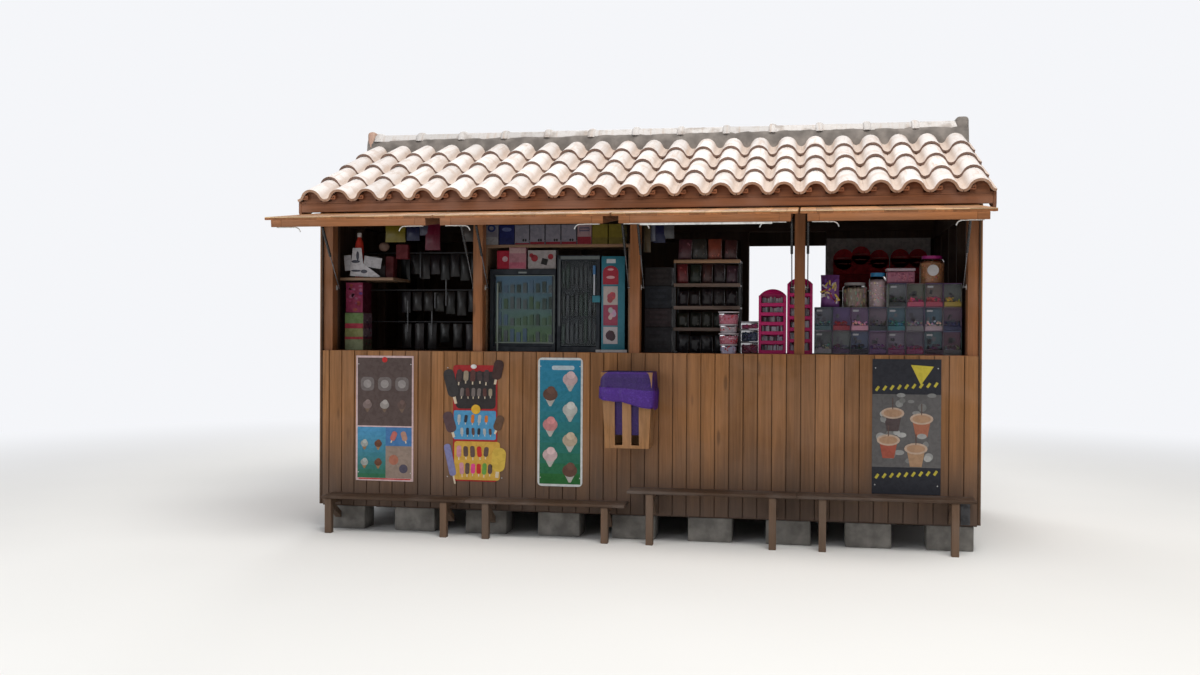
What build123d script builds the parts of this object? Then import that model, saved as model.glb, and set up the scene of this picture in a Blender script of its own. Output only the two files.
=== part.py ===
# Street kiosk: a timber hut with four lifting serving flaps under a clay-tile gable roof.
# Millimetres. X runs along the serving front, -Y faces the customer, +Z is up.
# The origin is the centre of the walls' footprint, on level ground.
from build123d import *
from math import atan2, cos, degrees, hypot, radians, sin, tan
import os

os.makedirs("parts", exist_ok=True)

# Driving dimensions of the walls
wall_length = 4600
wall_depth = 2200
board_thickness = 20
frame_depth = 90
post_width = 70
bay_count = 4
side_frame_depth = 70
side_bay_count = 4
stud_width = 45
rail_height = 70
sill_height = 1287

# Footing and floor
block_length = 300
block_width = 190
block_height = 165
block_columns = 9
block_rows = 3
base_timber_width = 90
base_timber_height = 70
joist_width = 60
joist_bays = 9
floor_thickness = 22
board_lap = 60

# Roof
roof_slope = 22
eave_valley_height = 2340
eave_overhang = 285
gable_overhang = 43.5
tile_thickness = 14
tile_count = 23
tile_rise = 70
hump_radius = 76
deck_thickness = 18
deck_setback = 45
fascia_thickness = 25
fascia_setback = 20
fascia_drop = 82
fascia_height = 60
bargeboard_thickness = 21
bargeboard_depth = 125
ridge_beam_width = 70
ridge_beam_height = 150
purlin_width = 60
purlin_height = 120
ridge_tile_count = 13
ridge_tile_width = 200
ridge_tile_rise = 70
ridge_tile_lift = 57
ridge_collar_length = 42
ridge_collar_step = 9
ridge_end_length = 62
ridge_end_height = 88
mortar_shoulder = 18
mortar_shoulder_drop = 25

# Serving flaps
pivot_drop = 52
pivot_stand_off = 6
flap_droop = 7.4
flap_gap = 6
flap_side_gap = 12
flap_frame_thickness = 45
flap_rail_width = 70
flap_board_lap = 29
flap_rest_gap = 5
header_gap = 4

# Gas struts
strut_anchor_reach = 225
strut_anchor_drop = 14
strut_foot_drop = 545
strut_foot_setback = 90
strut_side_gap = 18
strut_body_radius = 9
strut_body_length = 242
strut_neck_length = 20
strut_rod_radius = 4
strut_bore_clearance = 0.4
strut_end_wall = 10
strut_rod_engagement = 12
eye_radius = 9
eye_thickness = 10
stud_radius = 3
stud_clearance = 0.4
bracket_thickness = 3

# Hinges and latches
hinge_count = 2
hinge_spread = 760
knuckle_radius = 5.4
knuckle_length = 24
leaf_reach = 90
leaf_thickness = 2.6
latch_plate_length = 95
latch_plate_width = 24
latch_rod_radius = 3.5
latch_rod_reach = 70
latch_rod_drop = 30
latch_inset = 28
stud_plate_width = 20
stud_plate_height = 34
corner_plate_inset = 98
corner_plate_lift = 78
corner_plate_width = 60
corner_plate_height = 150
corner_plate_thickness = 4

# Benches
bench_depth = 200
bench_board_thickness = 21
left_bench_height = 265
right_bench_height = 365
bench_end_inset = 100, 50
bench_meeting = -32, -16
bench_seam_shift = -34, -3
left_leg_insets = 49, 154, 148, 137
right_leg_insets = 154, 158, 166, 132
leg_width = 48
bearer_height = 42
bench_front_lap = 8
brace_drop = 120
brace_width = 34
brace_foot = 30

# Litter bin and its bag
bin_centre = -14
bin_top_width = 350
bin_bottom_width = 296
bin_top_depth = 240
bin_bottom_depth = 205
bin_bottom_height = 650
bin_height = 513
bin_wall = 14
bin_hoop = 70
front_gap_width = 52
front_gap_pitch = 112
side_gap_width = 30
side_gap_pitch = 84
bag_thickness = 3
bag_clearance = 2
bag_depth = 430
bag_flare = 18
bag_skirt = 230

# Doorway at the back
door_start = 2980
door_width = 645
door_head = 117

# Counter and what stands behind the openings
counter_thickness = 22
counter_depth = 420
counter_leg_width = 45
counter_leg_count = 5
counter_leg_inset = 59.6
fit_gap = 0.4

# Posters on the front wall: left edge, right edge, bottom and top of each
poster_thickness = 3
poster_edges = (
    (-2019, -1587, 355, 1252),
    (-1353, -914, 340, 1232),
    (-677, -357, 353, 1250),
    (1602, 2044, 368, 1263),
)

# Shelves and goods behind the openings
shelf_thickness = 20
shelf_setback = 150
left_shelf_rise = 533
left_shelf_width = 410
left_shelf_depth = 380
high_shelf_drop = 240
high_shelf_lap = 22.5
high_shelf_gap = 10
high_shelf_depth = 300
upright_width = 20
carton_width = 190
carton_depth = 250
upper_carton_height = 222
carton_head_gap = 16
carton_post_gap = 45
dark_carton_gap = 10
dark_carton_height = 603
cabinet_depth = 300
cabinet_gap = 5
cabinet_left_gap = 15.5
cabinet_right_gap = 50
left_cabinet_width = 487
right_cabinet_width = 175
cabinet_head_gaps = 155, 57, 66
cabinet_border = 26
cabinet_recess = 24
rack_carton_gap = 15
rack_candy_gap = 127
rack_depth = 220
rack_setback = 200
rack_bar = 12
rack_heights = (171, 322, 480, 646)
candy_rack_widths = 188, 173
candy_rack_heights = 450, 528
candy_rack_gap = 7
candy_drawer_gap = 12
candy_rack_depth = 90
candy_shelf_count = 6
candy_wall = 10
drawer_post_gap = 64.5
drawer_end_gap = 12
drawer_depth = 260
drawer_heights = (160, 163, 163)
third_row_shift = 494
second_row_tubs = ((108, 120, 236), (276, 170, 172), (428, 120, 238))
third_row_jar = (294, 166, 190)
flat_tub = (84, 190, 108)
flat_tub_share = 0.7
tub_corner = 12
tub_setback = 20
board_door_gap = 7
back_board_end_gap = 28
back_board_drop = 65
back_board_height = 447
back_board_thickness = 12

# Derived places
pivot_height = eave_valley_height - pivot_drop
fascia_bottom = eave_valley_height - fascia_drop
half_length = wall_length / 2
half_depth = wall_depth / 2
front_face = -half_depth
frame_front = front_face + board_thickness
frame_back = frame_front + frame_depth
cladding_length = wall_length - 2 * board_thickness
cladding_bottom = block_height + base_timber_height - board_lap
base_top = block_height + base_timber_height
floor_top = base_top + floor_thickness
inner_half_length = half_length - board_thickness - post_width
bay_opening = (2 * inner_half_length - (bay_count - 1) * post_width) / bay_count
bay_pitch = bay_opening + post_width
bay_centres = [-inner_half_length + bay_opening / 2 + i * bay_pitch for i in range(bay_count)]
mid_post_places = [bay_centres[i] + bay_pitch / 2 for i in range(bay_count - 1)]
corner_post_place = half_length - board_thickness - post_width / 2
pivot_y = front_face - pivot_stand_off
header_bottom = pivot_height + header_gap
slope = radians(roof_slope)
droop = radians(flap_droop)
roof_length = wall_length + 2 * gable_overhang
tile_pitch = roof_length / tile_count
deck_drop = tile_thickness + fit_gap
deck_under = deck_drop + deck_thickness


def roof_height(y, drop=0):
    # Height of the plane that lies "drop" below the tiles' valleys, at the place y.
    rise = (half_depth + eave_overhang - abs(y)) * tan(slope)
    return eave_valley_height + rise - drop / cos(slope)


def finish(piece, name):
    # Labels a finished piece and writes its file.
    piece.part.label = name
    export_step(piece.part, f"parts/{name}.step")


# Footing blocks, in rows under the base timbers
with BuildPart() as plinth_blocks:
    with BuildSketch(Plane.XY):
        block_row_pitch = (wall_depth - 2 * board_thickness - block_width) / (block_rows - 1)
        block_column_pitch = (cladding_length - 2 * board_thickness - block_length) / (block_columns - 1)
        with GridLocations(block_column_pitch, block_row_pitch, block_columns, block_rows):
            Rectangle(block_length, block_width)
    extrude(amount=block_height)
finish(plinth_blocks, "plinth_blocks")

# Base frame: three long timbers with joists between
with BuildPart() as base_frame:
    base_inner_depth = wall_depth - 2 * board_thickness - 2 * base_timber_width
    base_inner_length = cladding_length - 2 * base_timber_width
    base_bay = (base_inner_length - (joist_bays - 1) * joist_width) / joist_bays
    base_half_bay = (base_inner_depth - base_timber_width) / 2
    with BuildSketch(Plane.XY.offset(block_height)):
        Rectangle(cladding_length, wall_depth - 2 * board_thickness)
        with GridLocations(base_bay + joist_width, base_half_bay + base_timber_width, joist_bays, 2):
            Rectangle(base_bay, base_half_bay, mode=Mode.SUBTRACT)
    extrude(amount=base_timber_height)
finish(base_frame, "base_frame")

# Floor boards inside the wall frames
with BuildPart() as floor_boards:
    with BuildSketch(Plane.XY.offset(base_top)):
        Rectangle(
            2 * (half_length - board_thickness - side_frame_depth - fit_gap),
            2 * (half_depth - board_thickness - frame_depth - fit_gap),
        )
    extrude(amount=floor_thickness)
finish(floor_boards, "floor_boards")

# Front posts: two at the corners and one between each pair of openings
with BuildPart() as front_posts:
    with BuildSketch(Plane.XY.offset(base_top)):
        post_places = [-corner_post_place, *mid_post_places, corner_post_place]
        with Locations(*[(x, frame_front + frame_depth / 2) for x in post_places]):
            Rectangle(post_width, frame_depth)
    extrude(amount=header_bottom - base_top)
finish(front_posts, "front_posts")

# Sill rails between the posts
with BuildPart() as sill_rails:
    with BuildSketch(Plane.XY.offset(sill_height - rail_height)):
        with Locations(*[(x, frame_front + frame_depth / 2) for x in bay_centres]):
            Rectangle(bay_opening, frame_depth)
    extrude(amount=rail_height)
finish(sill_rails, "sill_rails")

# Boarding of the front wall, from below the base frame up to the sill
with BuildPart() as front_wall_boards:
    with BuildSketch(Plane.XY.offset(cladding_bottom)):
        with Locations((0, front_face + board_thickness / 2)):
            Rectangle(cladding_length, board_thickness)
    extrude(amount=sill_height - cladding_bottom)
finish(front_wall_boards, "front_wall_boards")


def side_outline(setback, bottom, drop):
    # Pentagon of a side wall: straight sides, then both roof slopes up to the ridge.
    edge = half_depth - setback
    Polyline(
        (-edge, bottom),
        (edge, bottom),
        (edge, roof_height(edge, drop)),
        (0, roof_height(0, drop)),
        (-edge, roof_height(edge, drop)),
        close=True,
    )


# Side walls: full-height boarding that ends under the roof deck
with BuildPart() as side_wall_boards:
    for side_start in (-half_length, half_length - board_thickness):
        with BuildSketch(Plane.YZ.offset(side_start)):
            with BuildLine():
                side_outline(0, cladding_bottom, deck_under + fit_gap)
            make_face()
        extrude(amount=board_thickness)
finish(side_wall_boards, "side_wall_boards")

# Frames of the side walls: studs and rails between the corner posts, with a gable above
side_frame_starts = (-half_length + board_thickness, half_length - board_thickness - side_frame_depth)
side_inner_edge = half_depth - board_thickness - frame_depth
side_opening = (2 * side_inner_edge - (side_bay_count + 1) * stud_width) / side_bay_count
plate_height = header_bottom
with BuildPart() as side_wall_frames:
    for side_start in side_frame_starts:
        with BuildSketch(Plane.YZ.offset(side_start)) as side_frame_sketch:
            with BuildLine():
                side_outline(board_thickness + frame_depth + fit_gap, base_top, deck_under + fit_gap)
            make_face()
            lower_height = sill_height - base_top - 2 * rail_height
            upper_height = plate_height - sill_height - rail_height
            for column in range(side_bay_count):
                column_place = (column - (side_bay_count - 1) / 2) * (side_opening + stud_width)
                with Locations((column_place, base_top + rail_height + lower_height / 2)):
                    Rectangle(side_opening, lower_height, mode=Mode.SUBTRACT)
                with Locations((column_place, sill_height + upper_height / 2)):
                    Rectangle(side_opening, upper_height, mode=Mode.SUBTRACT)
        extrude(amount=side_frame_depth)
finish(side_wall_frames, "side_wall_frames")

# Frame of the back wall, left and right of the doorway
door_left = door_start - half_length
door_right = door_left + door_width
door_top = header_bottom - door_head
back_frame_edge = half_length - board_thickness
back_front = half_depth - board_thickness - frame_depth
with BuildPart() as back_wall_frame:
    with BuildSketch(Plane.XZ.offset(-back_front)):
        for low, high, studs in ((-back_frame_edge, door_left, 5), (door_right, back_frame_edge, 1)):
            with Locations(((low + high) / 2, (base_top + header_bottom) / 2)):
                Rectangle(high - low, header_bottom - base_top)
            clear = (high - low - 2 * post_width - studs * stud_width) / (studs + 1)
            for i in range(studs + 1):
                x = low + post_width + clear / 2 + i * (clear + stud_width)
                lower_height = sill_height - base_top - 2 * rail_height
                upper_height = header_bottom - sill_height - rail_height
                with Locations((x, base_top + rail_height + lower_height / 2)):
                    Rectangle(clear, lower_height, mode=Mode.SUBTRACT)
                with Locations((x, sill_height + upper_height / 2)):
                    Rectangle(clear, upper_height, mode=Mode.SUBTRACT)
    extrude(amount=-frame_depth)
finish(back_wall_frame, "back_wall_frame")

# Boarding of the back wall, beside and over the doorway
with BuildPart() as back_wall_boards:
    with BuildSketch(Plane.XY.offset(cladding_bottom)):
        for low, high in ((-cladding_length / 2, door_left), (door_right, cladding_length / 2)):
            with Locations(((low + high) / 2, half_depth - board_thickness / 2)):
                Rectangle(high - low, board_thickness)
    extrude(amount=header_bottom - cladding_bottom)
finish(back_wall_boards, "back_wall_boards")

with BuildPart() as back_boards_over_door:
    with BuildSketch(Plane.XY.offset(header_bottom + fit_gap)):
        with Locations((0, half_depth - board_thickness / 2)):
            Rectangle(cladding_length, board_thickness)
    extrude(amount=roof_height(half_depth, deck_under + fit_gap) - header_bottom - fit_gap)
    with BuildSketch(Plane.XY.offset(door_top)):
        with Locations(((door_left + door_right) / 2, half_depth - board_thickness / 2)):
            Rectangle(door_width - 2 * fit_gap, board_thickness)
    extrude(amount=header_bottom + fit_gap - door_top)
finish(back_boards_over_door, "back_boards_over_door")

# Head beams over the front posts and the back frame, bevelled to carry the roof deck
with BuildPart() as head_beams:
    for facing in (-1, 1):
        with BuildSketch(Plane.YZ.offset(-cladding_length / 2)):
            outer = half_depth - board_thickness
            inner = outer - frame_depth
            with BuildLine():
                Polyline(
                    (facing * outer, header_bottom),
                    (facing * inner, header_bottom),
                    (facing * inner, roof_height(inner, deck_under + fit_gap)),
                    (facing * outer, roof_height(outer, deck_under + fit_gap)),
                    close=True,
                )
            make_face()
        extrude(amount=cladding_length)
finish(head_beams, "head_beams")

# Board that covers the front head beam above the flaps
with BuildPart() as header_board:
    with BuildSketch(Plane.XY.offset(header_bottom)):
        with Locations((0, front_face + board_thickness / 2)):
            Rectangle(cladding_length, board_thickness)
    extrude(amount=roof_height(half_depth, deck_under + fit_gap) - header_bottom)
finish(header_board, "header_board")

# Ridge beam and a purlin under each slope, running between the side frames
beam_length = 2 * (half_length - board_thickness - side_frame_depth - fit_gap)
with BuildPart() as roof_beams:
    with BuildSketch(Plane.YZ.offset(-beam_length / 2)):
        beam_drop = deck_under + fit_gap
        half_ridge = ridge_beam_width / 2
        ridge_bottom = roof_height(half_ridge, beam_drop) - ridge_beam_height
        with BuildLine():
            Polyline(
                (-half_ridge, ridge_bottom),
                (half_ridge, ridge_bottom),
                (half_ridge, roof_height(half_ridge, beam_drop)),
                (0, roof_height(0, beam_drop)),
                (-half_ridge, roof_height(half_ridge, beam_drop)),
                close=True,
            )
        make_face()
        for facing in (-1, 1):
            near = facing * (half_depth / 2 - purlin_width / 2)
            far = facing * (half_depth / 2 + purlin_width / 2)
            with BuildLine():
                Polyline(
                    (near, roof_height(far, beam_drop) - purlin_height),
                    (far, roof_height(far, beam_drop) - purlin_height),
                    (far, roof_height(far, beam_drop)),
                    (near, roof_height(near, beam_drop)),
                    close=True,
                )
            make_face()
    extrude(amount=beam_length)
finish(roof_beams, "roof_beams")

# Roof deck: one boarded slope each side, parted at the ridge
deck_length = wall_length + 2 * (gable_overhang - bargeboard_thickness - fit_gap)
deck_edge = half_depth + eave_overhang - deck_setback
with BuildPart() as roof_decks:
    with BuildSketch(Plane.YZ.offset(-deck_length / 2)):
        for facing in (-1, 1):
            with BuildLine():
                Polyline(
                    (facing * deck_edge, roof_height(deck_edge, deck_under)),
                    (facing * fit_gap, roof_height(fit_gap, deck_under)),
                    (facing * fit_gap, roof_height(fit_gap, deck_drop)),
                    (facing * deck_edge, roof_height(deck_edge, deck_drop)),
                    close=True,
                )
            make_face()
    extrude(amount=deck_length)
finish(roof_decks, "roof_decks")

# Tile wave: a hump and a hollow whose arcs meet in a common tangent
wave_angle = 2 * atan2(2 * tile_rise, tile_pitch)
hollow_radius = tile_pitch / (2 * sin(wave_angle)) - hump_radius


def wave_arcs(offset, count):
    # Arcs of the wave, moved "offset" outwards, from a valley to the last valley.
    hollow = hollow_radius - offset
    hump = hump_radius + offset
    for i in range(count):
        start = (i - count / 2) * tile_pitch
        end = start + tile_pitch
        hollow_reach = hollow * sin(wave_angle)
        hollow_rise = hollow * (1 - cos(wave_angle))
        turn = (start + hollow_reach, offset + hollow_rise)
        back = (end - hollow_reach, offset + hollow_rise)
        half_turn = (hollow * sin(wave_angle / 2), hollow * (1 - cos(wave_angle / 2)))
        crown = (start + tile_pitch / 2, offset + hollow_rise + hump * (1 - cos(wave_angle)))
        ThreePointArc((start, offset), (start + half_turn[0], offset + half_turn[1]), turn)
        ThreePointArc(turn, crown, back)
        ThreePointArc(back, (end - half_turn[0], offset + half_turn[1]), (end, offset))


# Tile coverings: one waved shell each slope, from the eave to under the ridge tiles
tile_run = (half_depth + eave_overhang) / cos(slope) - tile_rise * tan(slope) - 2 * tile_thickness
for tiles_name, facing in (("front_tiles", -1), ("back_tiles", 1)):
    eave_plane = Plane(
        origin=(0, facing * (half_depth + eave_overhang), eave_valley_height),
        x_dir=(facing, 0, 0),
        z_dir=(0, -facing * cos(slope), sin(slope)),
    )
    with BuildPart() as tiles:
        with BuildSketch(eave_plane):
            with BuildLine():
                wave_arcs(0, tile_count)
                wave_arcs(-tile_thickness, tile_count)
                Line((-roof_length / 2, 0), (-roof_length / 2, -tile_thickness))
                Line((roof_length / 2, 0), (roof_length / 2, -tile_thickness))
            make_face()
        extrude(amount=tile_run)
    finish(tiles, tiles_name)

# Fascia boards across both eaves
fascia_front = half_depth + eave_overhang - fascia_setback
with BuildPart() as fascias:
    with BuildSketch(Plane.XY.offset(fascia_bottom)):
        for facing in (-1, 1):
            with Locations((0, facing * (fascia_front - fascia_thickness / 2))):
                Rectangle(deck_length, fascia_thickness - fit_gap)
    extrude(amount=fascia_height)
finish(fascias, "fascias")

# Eave combs: scalloped closers that fill the tiles' humps above each fascia
comb_thickness = fascia_thickness - 2 * fit_gap
comb_bottom = fascia_bottom + fascia_height + fit_gap
comb_lift = roof_height(fascia_front, tile_thickness) - 2 * fit_gap
with BuildPart() as eave_combs:
    for start in (-fascia_front, fascia_front - comb_thickness):
        with BuildSketch(Plane.XZ.offset(-start)):
            with Locations((0, (comb_bottom + comb_lift) / 2)):
                Rectangle(deck_length, comb_lift - comb_bottom)
            scallop_radius = hump_radius - tile_thickness - 2 * fit_gap
            scallop_centre = tile_rise - hump_radius
            with Locations((0, comb_lift + tile_thickness + scallop_centre)):
                with GridLocations(tile_pitch, 1, tile_count, 1):
                    Circle(scallop_radius)
            with Locations((0, comb_bottom - wall_depth / 2)):
                Rectangle(2 * deck_length, wall_depth, mode=Mode.SUBTRACT)
        extrude(amount=-comb_thickness)
finish(eave_combs, "eave_combs")

# Bargeboards: one each gable, two slopes in one plane with plumb-cut ends
with BuildPart() as bargeboards:
    for side_start in (-half_length - gable_overhang, half_length + gable_overhang - bargeboard_thickness):
        with BuildSketch(Plane.YZ.offset(side_start)):
            edge = fascia_front + fit_gap
            under = deck_drop + bargeboard_depth
            with BuildLine():
                Polyline(
                    (-edge, roof_height(edge, deck_drop)),
                    (0, roof_height(0, deck_drop)),
                    (edge, roof_height(edge, deck_drop)),
                    (edge, fascia_bottom),
                    (edge - fascia_thickness, roof_height(edge - fascia_thickness, under)),
                    (0, roof_height(0, under)),
                    (fascia_thickness - edge, roof_height(edge - fascia_thickness, under)),
                    (-edge, fascia_bottom),
                    close=True,
                )
            make_face()
        extrude(amount=bargeboard_thickness)
finish(bargeboards, "bargeboards")

# Ridge tiles: half-round, each with a raised collar over the joint
ridge_base = roof_height(0) + ridge_tile_lift
ridge_run = roof_length - 2 * ridge_end_length
ridge_pitch = ridge_run / ridge_tile_count


def half_round(width, rise, lift=0):
    # Closed arch of a ridge tile, from its outer width and rise.
    half = width / 2
    inner = half - tile_thickness
    ThreePointArc((-half, lift), (0, lift + rise), (half, lift))
    Line((half, lift), (inner, lift))
    ThreePointArc((inner, lift), (0, lift + rise - tile_thickness), (-inner, lift))
    Line((-inner, lift), (-half, lift))


with BuildPart() as ridge_tiles:
    for i in range(ridge_tile_count):
        tile_start = -ridge_run / 2 + i * ridge_pitch
        with BuildSketch(Plane.YZ.offset(tile_start)):
            with BuildLine():
                half_round(ridge_tile_width, ridge_tile_rise, ridge_base)
            make_face()
        extrude(amount=ridge_pitch - fit_gap)
        with BuildSketch(Plane.YZ.offset(tile_start)):
            with BuildLine():
                collar_width = ridge_tile_width + 2 * ridge_collar_step
                half_round(collar_width, ridge_tile_rise + ridge_collar_step, ridge_base)
            make_face()
        extrude(amount=ridge_collar_length)
finish(ridge_tiles, "ridge_tiles")

# Mortar bed under the ridge tiles, with a closing block at each end
with BuildPart() as ridge_mortar:
    mortar_half = ridge_tile_width / 2 - tile_thickness - fit_gap
    shoulder_half = mortar_half - mortar_shoulder
    foot_half = mortar_half / 2
    with BuildSketch(Plane.YZ.offset(-roof_length / 2)):
        crown = ridge_base + ridge_tile_rise - tile_thickness - fit_gap
        with BuildLine():
            ThreePointArc((-mortar_half, ridge_base), (0, crown), (mortar_half, ridge_base))
            Polyline(
                (mortar_half, ridge_base),
                (shoulder_half, ridge_base - mortar_shoulder_drop),
                (foot_half, roof_height(foot_half, deck_drop)),
                (0, roof_height(0, deck_drop)),
                (-foot_half, roof_height(foot_half, deck_drop)),
                (-shoulder_half, ridge_base - mortar_shoulder_drop),
                (-mortar_half, ridge_base),
            )
        make_face()
    extrude(amount=roof_length)
    for end_start in (-roof_length / 2, roof_length / 2 - ridge_end_length + fit_gap):
        with BuildSketch(Plane.YZ.offset(end_start)):
            with Locations((0, ridge_base + ridge_end_height / 2)):
                Rectangle(ridge_tile_width, ridge_end_height)
        extrude(amount=ridge_end_length - fit_gap)
finish(ridge_mortar, "ridge_mortar")


def on_flap(reach, height):
    # Place (y, z) of a point on an open flap: reach outwards from the pivot, height above it.
    return (
        pivot_y - reach * cos(droop) - height * sin(droop),
        pivot_height - reach * sin(droop) + height * cos(droop),
    )


def flap_plane(centre, height):
    # Plane of an open flap: local x along the wall, local y back towards the pivot.
    y, z = on_flap(0, height)
    return Plane(origin=(centre, y, z), x_dir=(1, 0, 0), z_dir=(0, -sin(droop), cos(droop)))


# Flap sizes, in the flap's own plane
flap_reach = pivot_height - sill_height - flap_rest_gap
flap_run = flap_reach - flap_gap
board_top = -pivot_stand_off
board_under = board_top - board_thickness
frame_under = board_under - flap_frame_thickness
flap_frame_width = bay_opening - 2 * flap_side_gap
flap_board_width = bay_opening + 2 * flap_board_lap
flap_middle = -(flap_gap + flap_run / 2)
anchor_y, anchor_z = on_flap(strut_anchor_reach, frame_under - strut_anchor_drop)
foot_y = front_face + strut_foot_setback
foot_z = pivot_height - strut_foot_drop
strut_length = hypot(foot_y - anchor_y, foot_z - anchor_z)
strut_direction = (0, (foot_y - anchor_y) / strut_length, (foot_z - anchor_z) / strut_length)
hinge_pitch = hinge_spread / (hinge_count - 1)
hinge_places = [(i - (hinge_count - 1) / 2) * hinge_pitch for i in range(hinge_count)]

for number, centre in enumerate(bay_centres, start=1):
    strut_places = (centre - bay_opening / 2 + strut_side_gap, centre + bay_opening / 2 - strut_side_gap)

    # Frame of the flap: side, end and middle rails
    with BuildPart() as flap_frame:
        with BuildSketch(flap_plane(centre, frame_under)):
            with Locations((0, flap_middle)):
                Rectangle(flap_frame_width, flap_run)
            bay_run = (flap_run - 3 * flap_rail_width) / 2
            with Locations((0, flap_middle)):
                with GridLocations(1, bay_run + flap_rail_width, 1, 2):
                    Rectangle(flap_frame_width - 2 * flap_rail_width, bay_run, mode=Mode.SUBTRACT)
        extrude(amount=flap_frame_thickness)
    finish(flap_frame, f"flap_{number}_frame")

    # Boarding of the flap, lapping over the posts each side
    with BuildPart() as flap_boards:
        with BuildSketch(flap_plane(centre, board_under)):
            with Locations((0, flap_middle)):
                Rectangle(flap_board_width, flap_run)
        extrude(amount=board_thickness)
    finish(flap_boards, f"flap_{number}_boards")

    # Ironwork carried by the flap: hinge leaves, strut ears and two bent latches
    with BuildPart() as flap_ironwork:
        with BuildSketch(flap_plane(centre, board_top + fit_gap / 2)):
            for x in hinge_places:
                with Locations((x, -(knuckle_radius + leaf_reach) / 2 - flap_gap / 2)):
                    Rectangle(knuckle_length, leaf_reach - knuckle_radius)
        extrude(amount=leaf_thickness)
        for x in hinge_places:
            with BuildSketch(Plane.YZ.offset(centre + x - knuckle_length / 2)):
                with Locations((pivot_y, pivot_height)):
                    Circle(knuckle_radius)
            extrude(amount=knuckle_length)
            web_plane = flap_plane(centre + x, board_top + fit_gap / 2)
            with BuildSketch(web_plane):
                with Locations((0, -(flap_gap + knuckle_radius) / 2)):
                    Rectangle(knuckle_length, flap_gap + knuckle_radius)
            extrude(amount=leaf_thickness)
        for x, inward in zip(strut_places, (1, -1)):
            ear_near = x + inward * (eye_thickness / 2 + 2)
            with BuildSketch(flap_plane(ear_near + inward * bracket_thickness / 2, frame_under - fit_gap / 2)):
                with Locations((0, -strut_anchor_reach)):
                    Rectangle(bracket_thickness, 2 * eye_radius)
            extrude(amount=-(strut_anchor_drop + eye_radius))
            with BuildSketch(flap_plane(ear_near + inward * latch_plate_width / 2, frame_under - fit_gap / 2)):
                with Locations((0, -strut_anchor_reach)):
                    Rectangle(latch_plate_width, 3 * eye_radius)
            extrude(amount=-bracket_thickness)
            stud_start = min(ear_near, x - inward * (eye_thickness / 2 + 1))
            with BuildSketch(Plane.YZ.offset(stud_start)):
                with Locations((anchor_y, anchor_z)):
                    Circle(stud_radius)
            extrude(amount=eye_thickness + 3)
        for side in (-1, 1):
            plate_centre = side * (flap_frame_width / 2 - latch_inset - latch_plate_length / 2)
            plate_reach = flap_reach - flap_rail_width / 2
            with BuildSketch(flap_plane(centre + plate_centre, frame_under - fit_gap / 2)):
                with Locations((0, -plate_reach)):
                    Rectangle(latch_plate_length, latch_plate_width)
            extrude(amount=-2 * bracket_thickness)
            rod_y, rod_z = on_flap(plate_reach, frame_under - fit_gap - latch_rod_radius)
            rod_start = centre + side * (flap_frame_width / 2 - latch_inset - latch_plate_length + 10)
            with BuildLine() as rod_path:
                bend = (rod_start - side * latch_rod_reach / 2, rod_y, rod_z)
                Line((rod_start, rod_y, rod_z), bend)
                TangentArc(
                    bend,
                    (rod_start - side * latch_rod_reach, rod_y, rod_z - latch_rod_drop),
                    tangent=(-side, 0, 0),
                )
            with BuildSketch(Plane(origin=(rod_start, rod_y, rod_z), z_dir=(-side, 0, 0))):
                Circle(latch_rod_radius)
            sweep(path=rod_path.wire())
    finish(flap_ironwork, f"flap_{number}_ironwork")

    # Cylinders of the two gas struts, hung from the flap's ears
    with BuildPart() as strut_cylinders:
        for x in strut_places:
            strut_plane = Plane(origin=(x, anchor_y, anchor_z), x_dir=(1, 0, 0), z_dir=strut_direction)
            with BuildSketch(Plane.YZ.offset(x - eye_thickness / 2)):
                with Locations((anchor_y, anchor_z)):
                    Circle(eye_radius)
            extrude(amount=eye_thickness)
            with BuildSketch(strut_plane):
                Circle(strut_rod_radius)
            extrude(amount=strut_neck_length)
            with BuildSketch(strut_plane.offset(strut_neck_length)):
                Circle(strut_body_radius)
            extrude(amount=strut_body_length)
            with BuildSketch(strut_plane.offset(strut_neck_length + strut_body_length)):
                Circle(strut_rod_radius + strut_bore_clearance)
            extrude(amount=-(strut_body_length - strut_end_wall), mode=Mode.SUBTRACT)
            with BuildSketch(Plane.YZ.offset(x - eye_thickness)):
                with Locations((anchor_y, anchor_z)):
                    Circle(stud_radius + stud_clearance)
            extrude(amount=2 * eye_thickness, mode=Mode.SUBTRACT)
    finish(strut_cylinders, f"flap_{number}_strut_cylinders")

    # Rods of the two gas struts, reaching the studs on the posts
    with BuildPart() as strut_rods:
        for x in strut_places:
            rod_plane = Plane(origin=(x, foot_y, foot_z), x_dir=(1, 0, 0), z_dir=strut_direction)
            with BuildSketch(Plane.YZ.offset(x - eye_thickness / 2)):
                with Locations((foot_y, foot_z)):
                    Circle(eye_radius)
            extrude(amount=eye_thickness)
            with BuildSketch(rod_plane):
                Circle(strut_rod_radius)
            rod_run = strut_length - strut_neck_length - strut_body_length + strut_rod_engagement
            extrude(amount=-rod_run)
    finish(strut_rods, f"flap_{number}_strut_rods")

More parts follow.
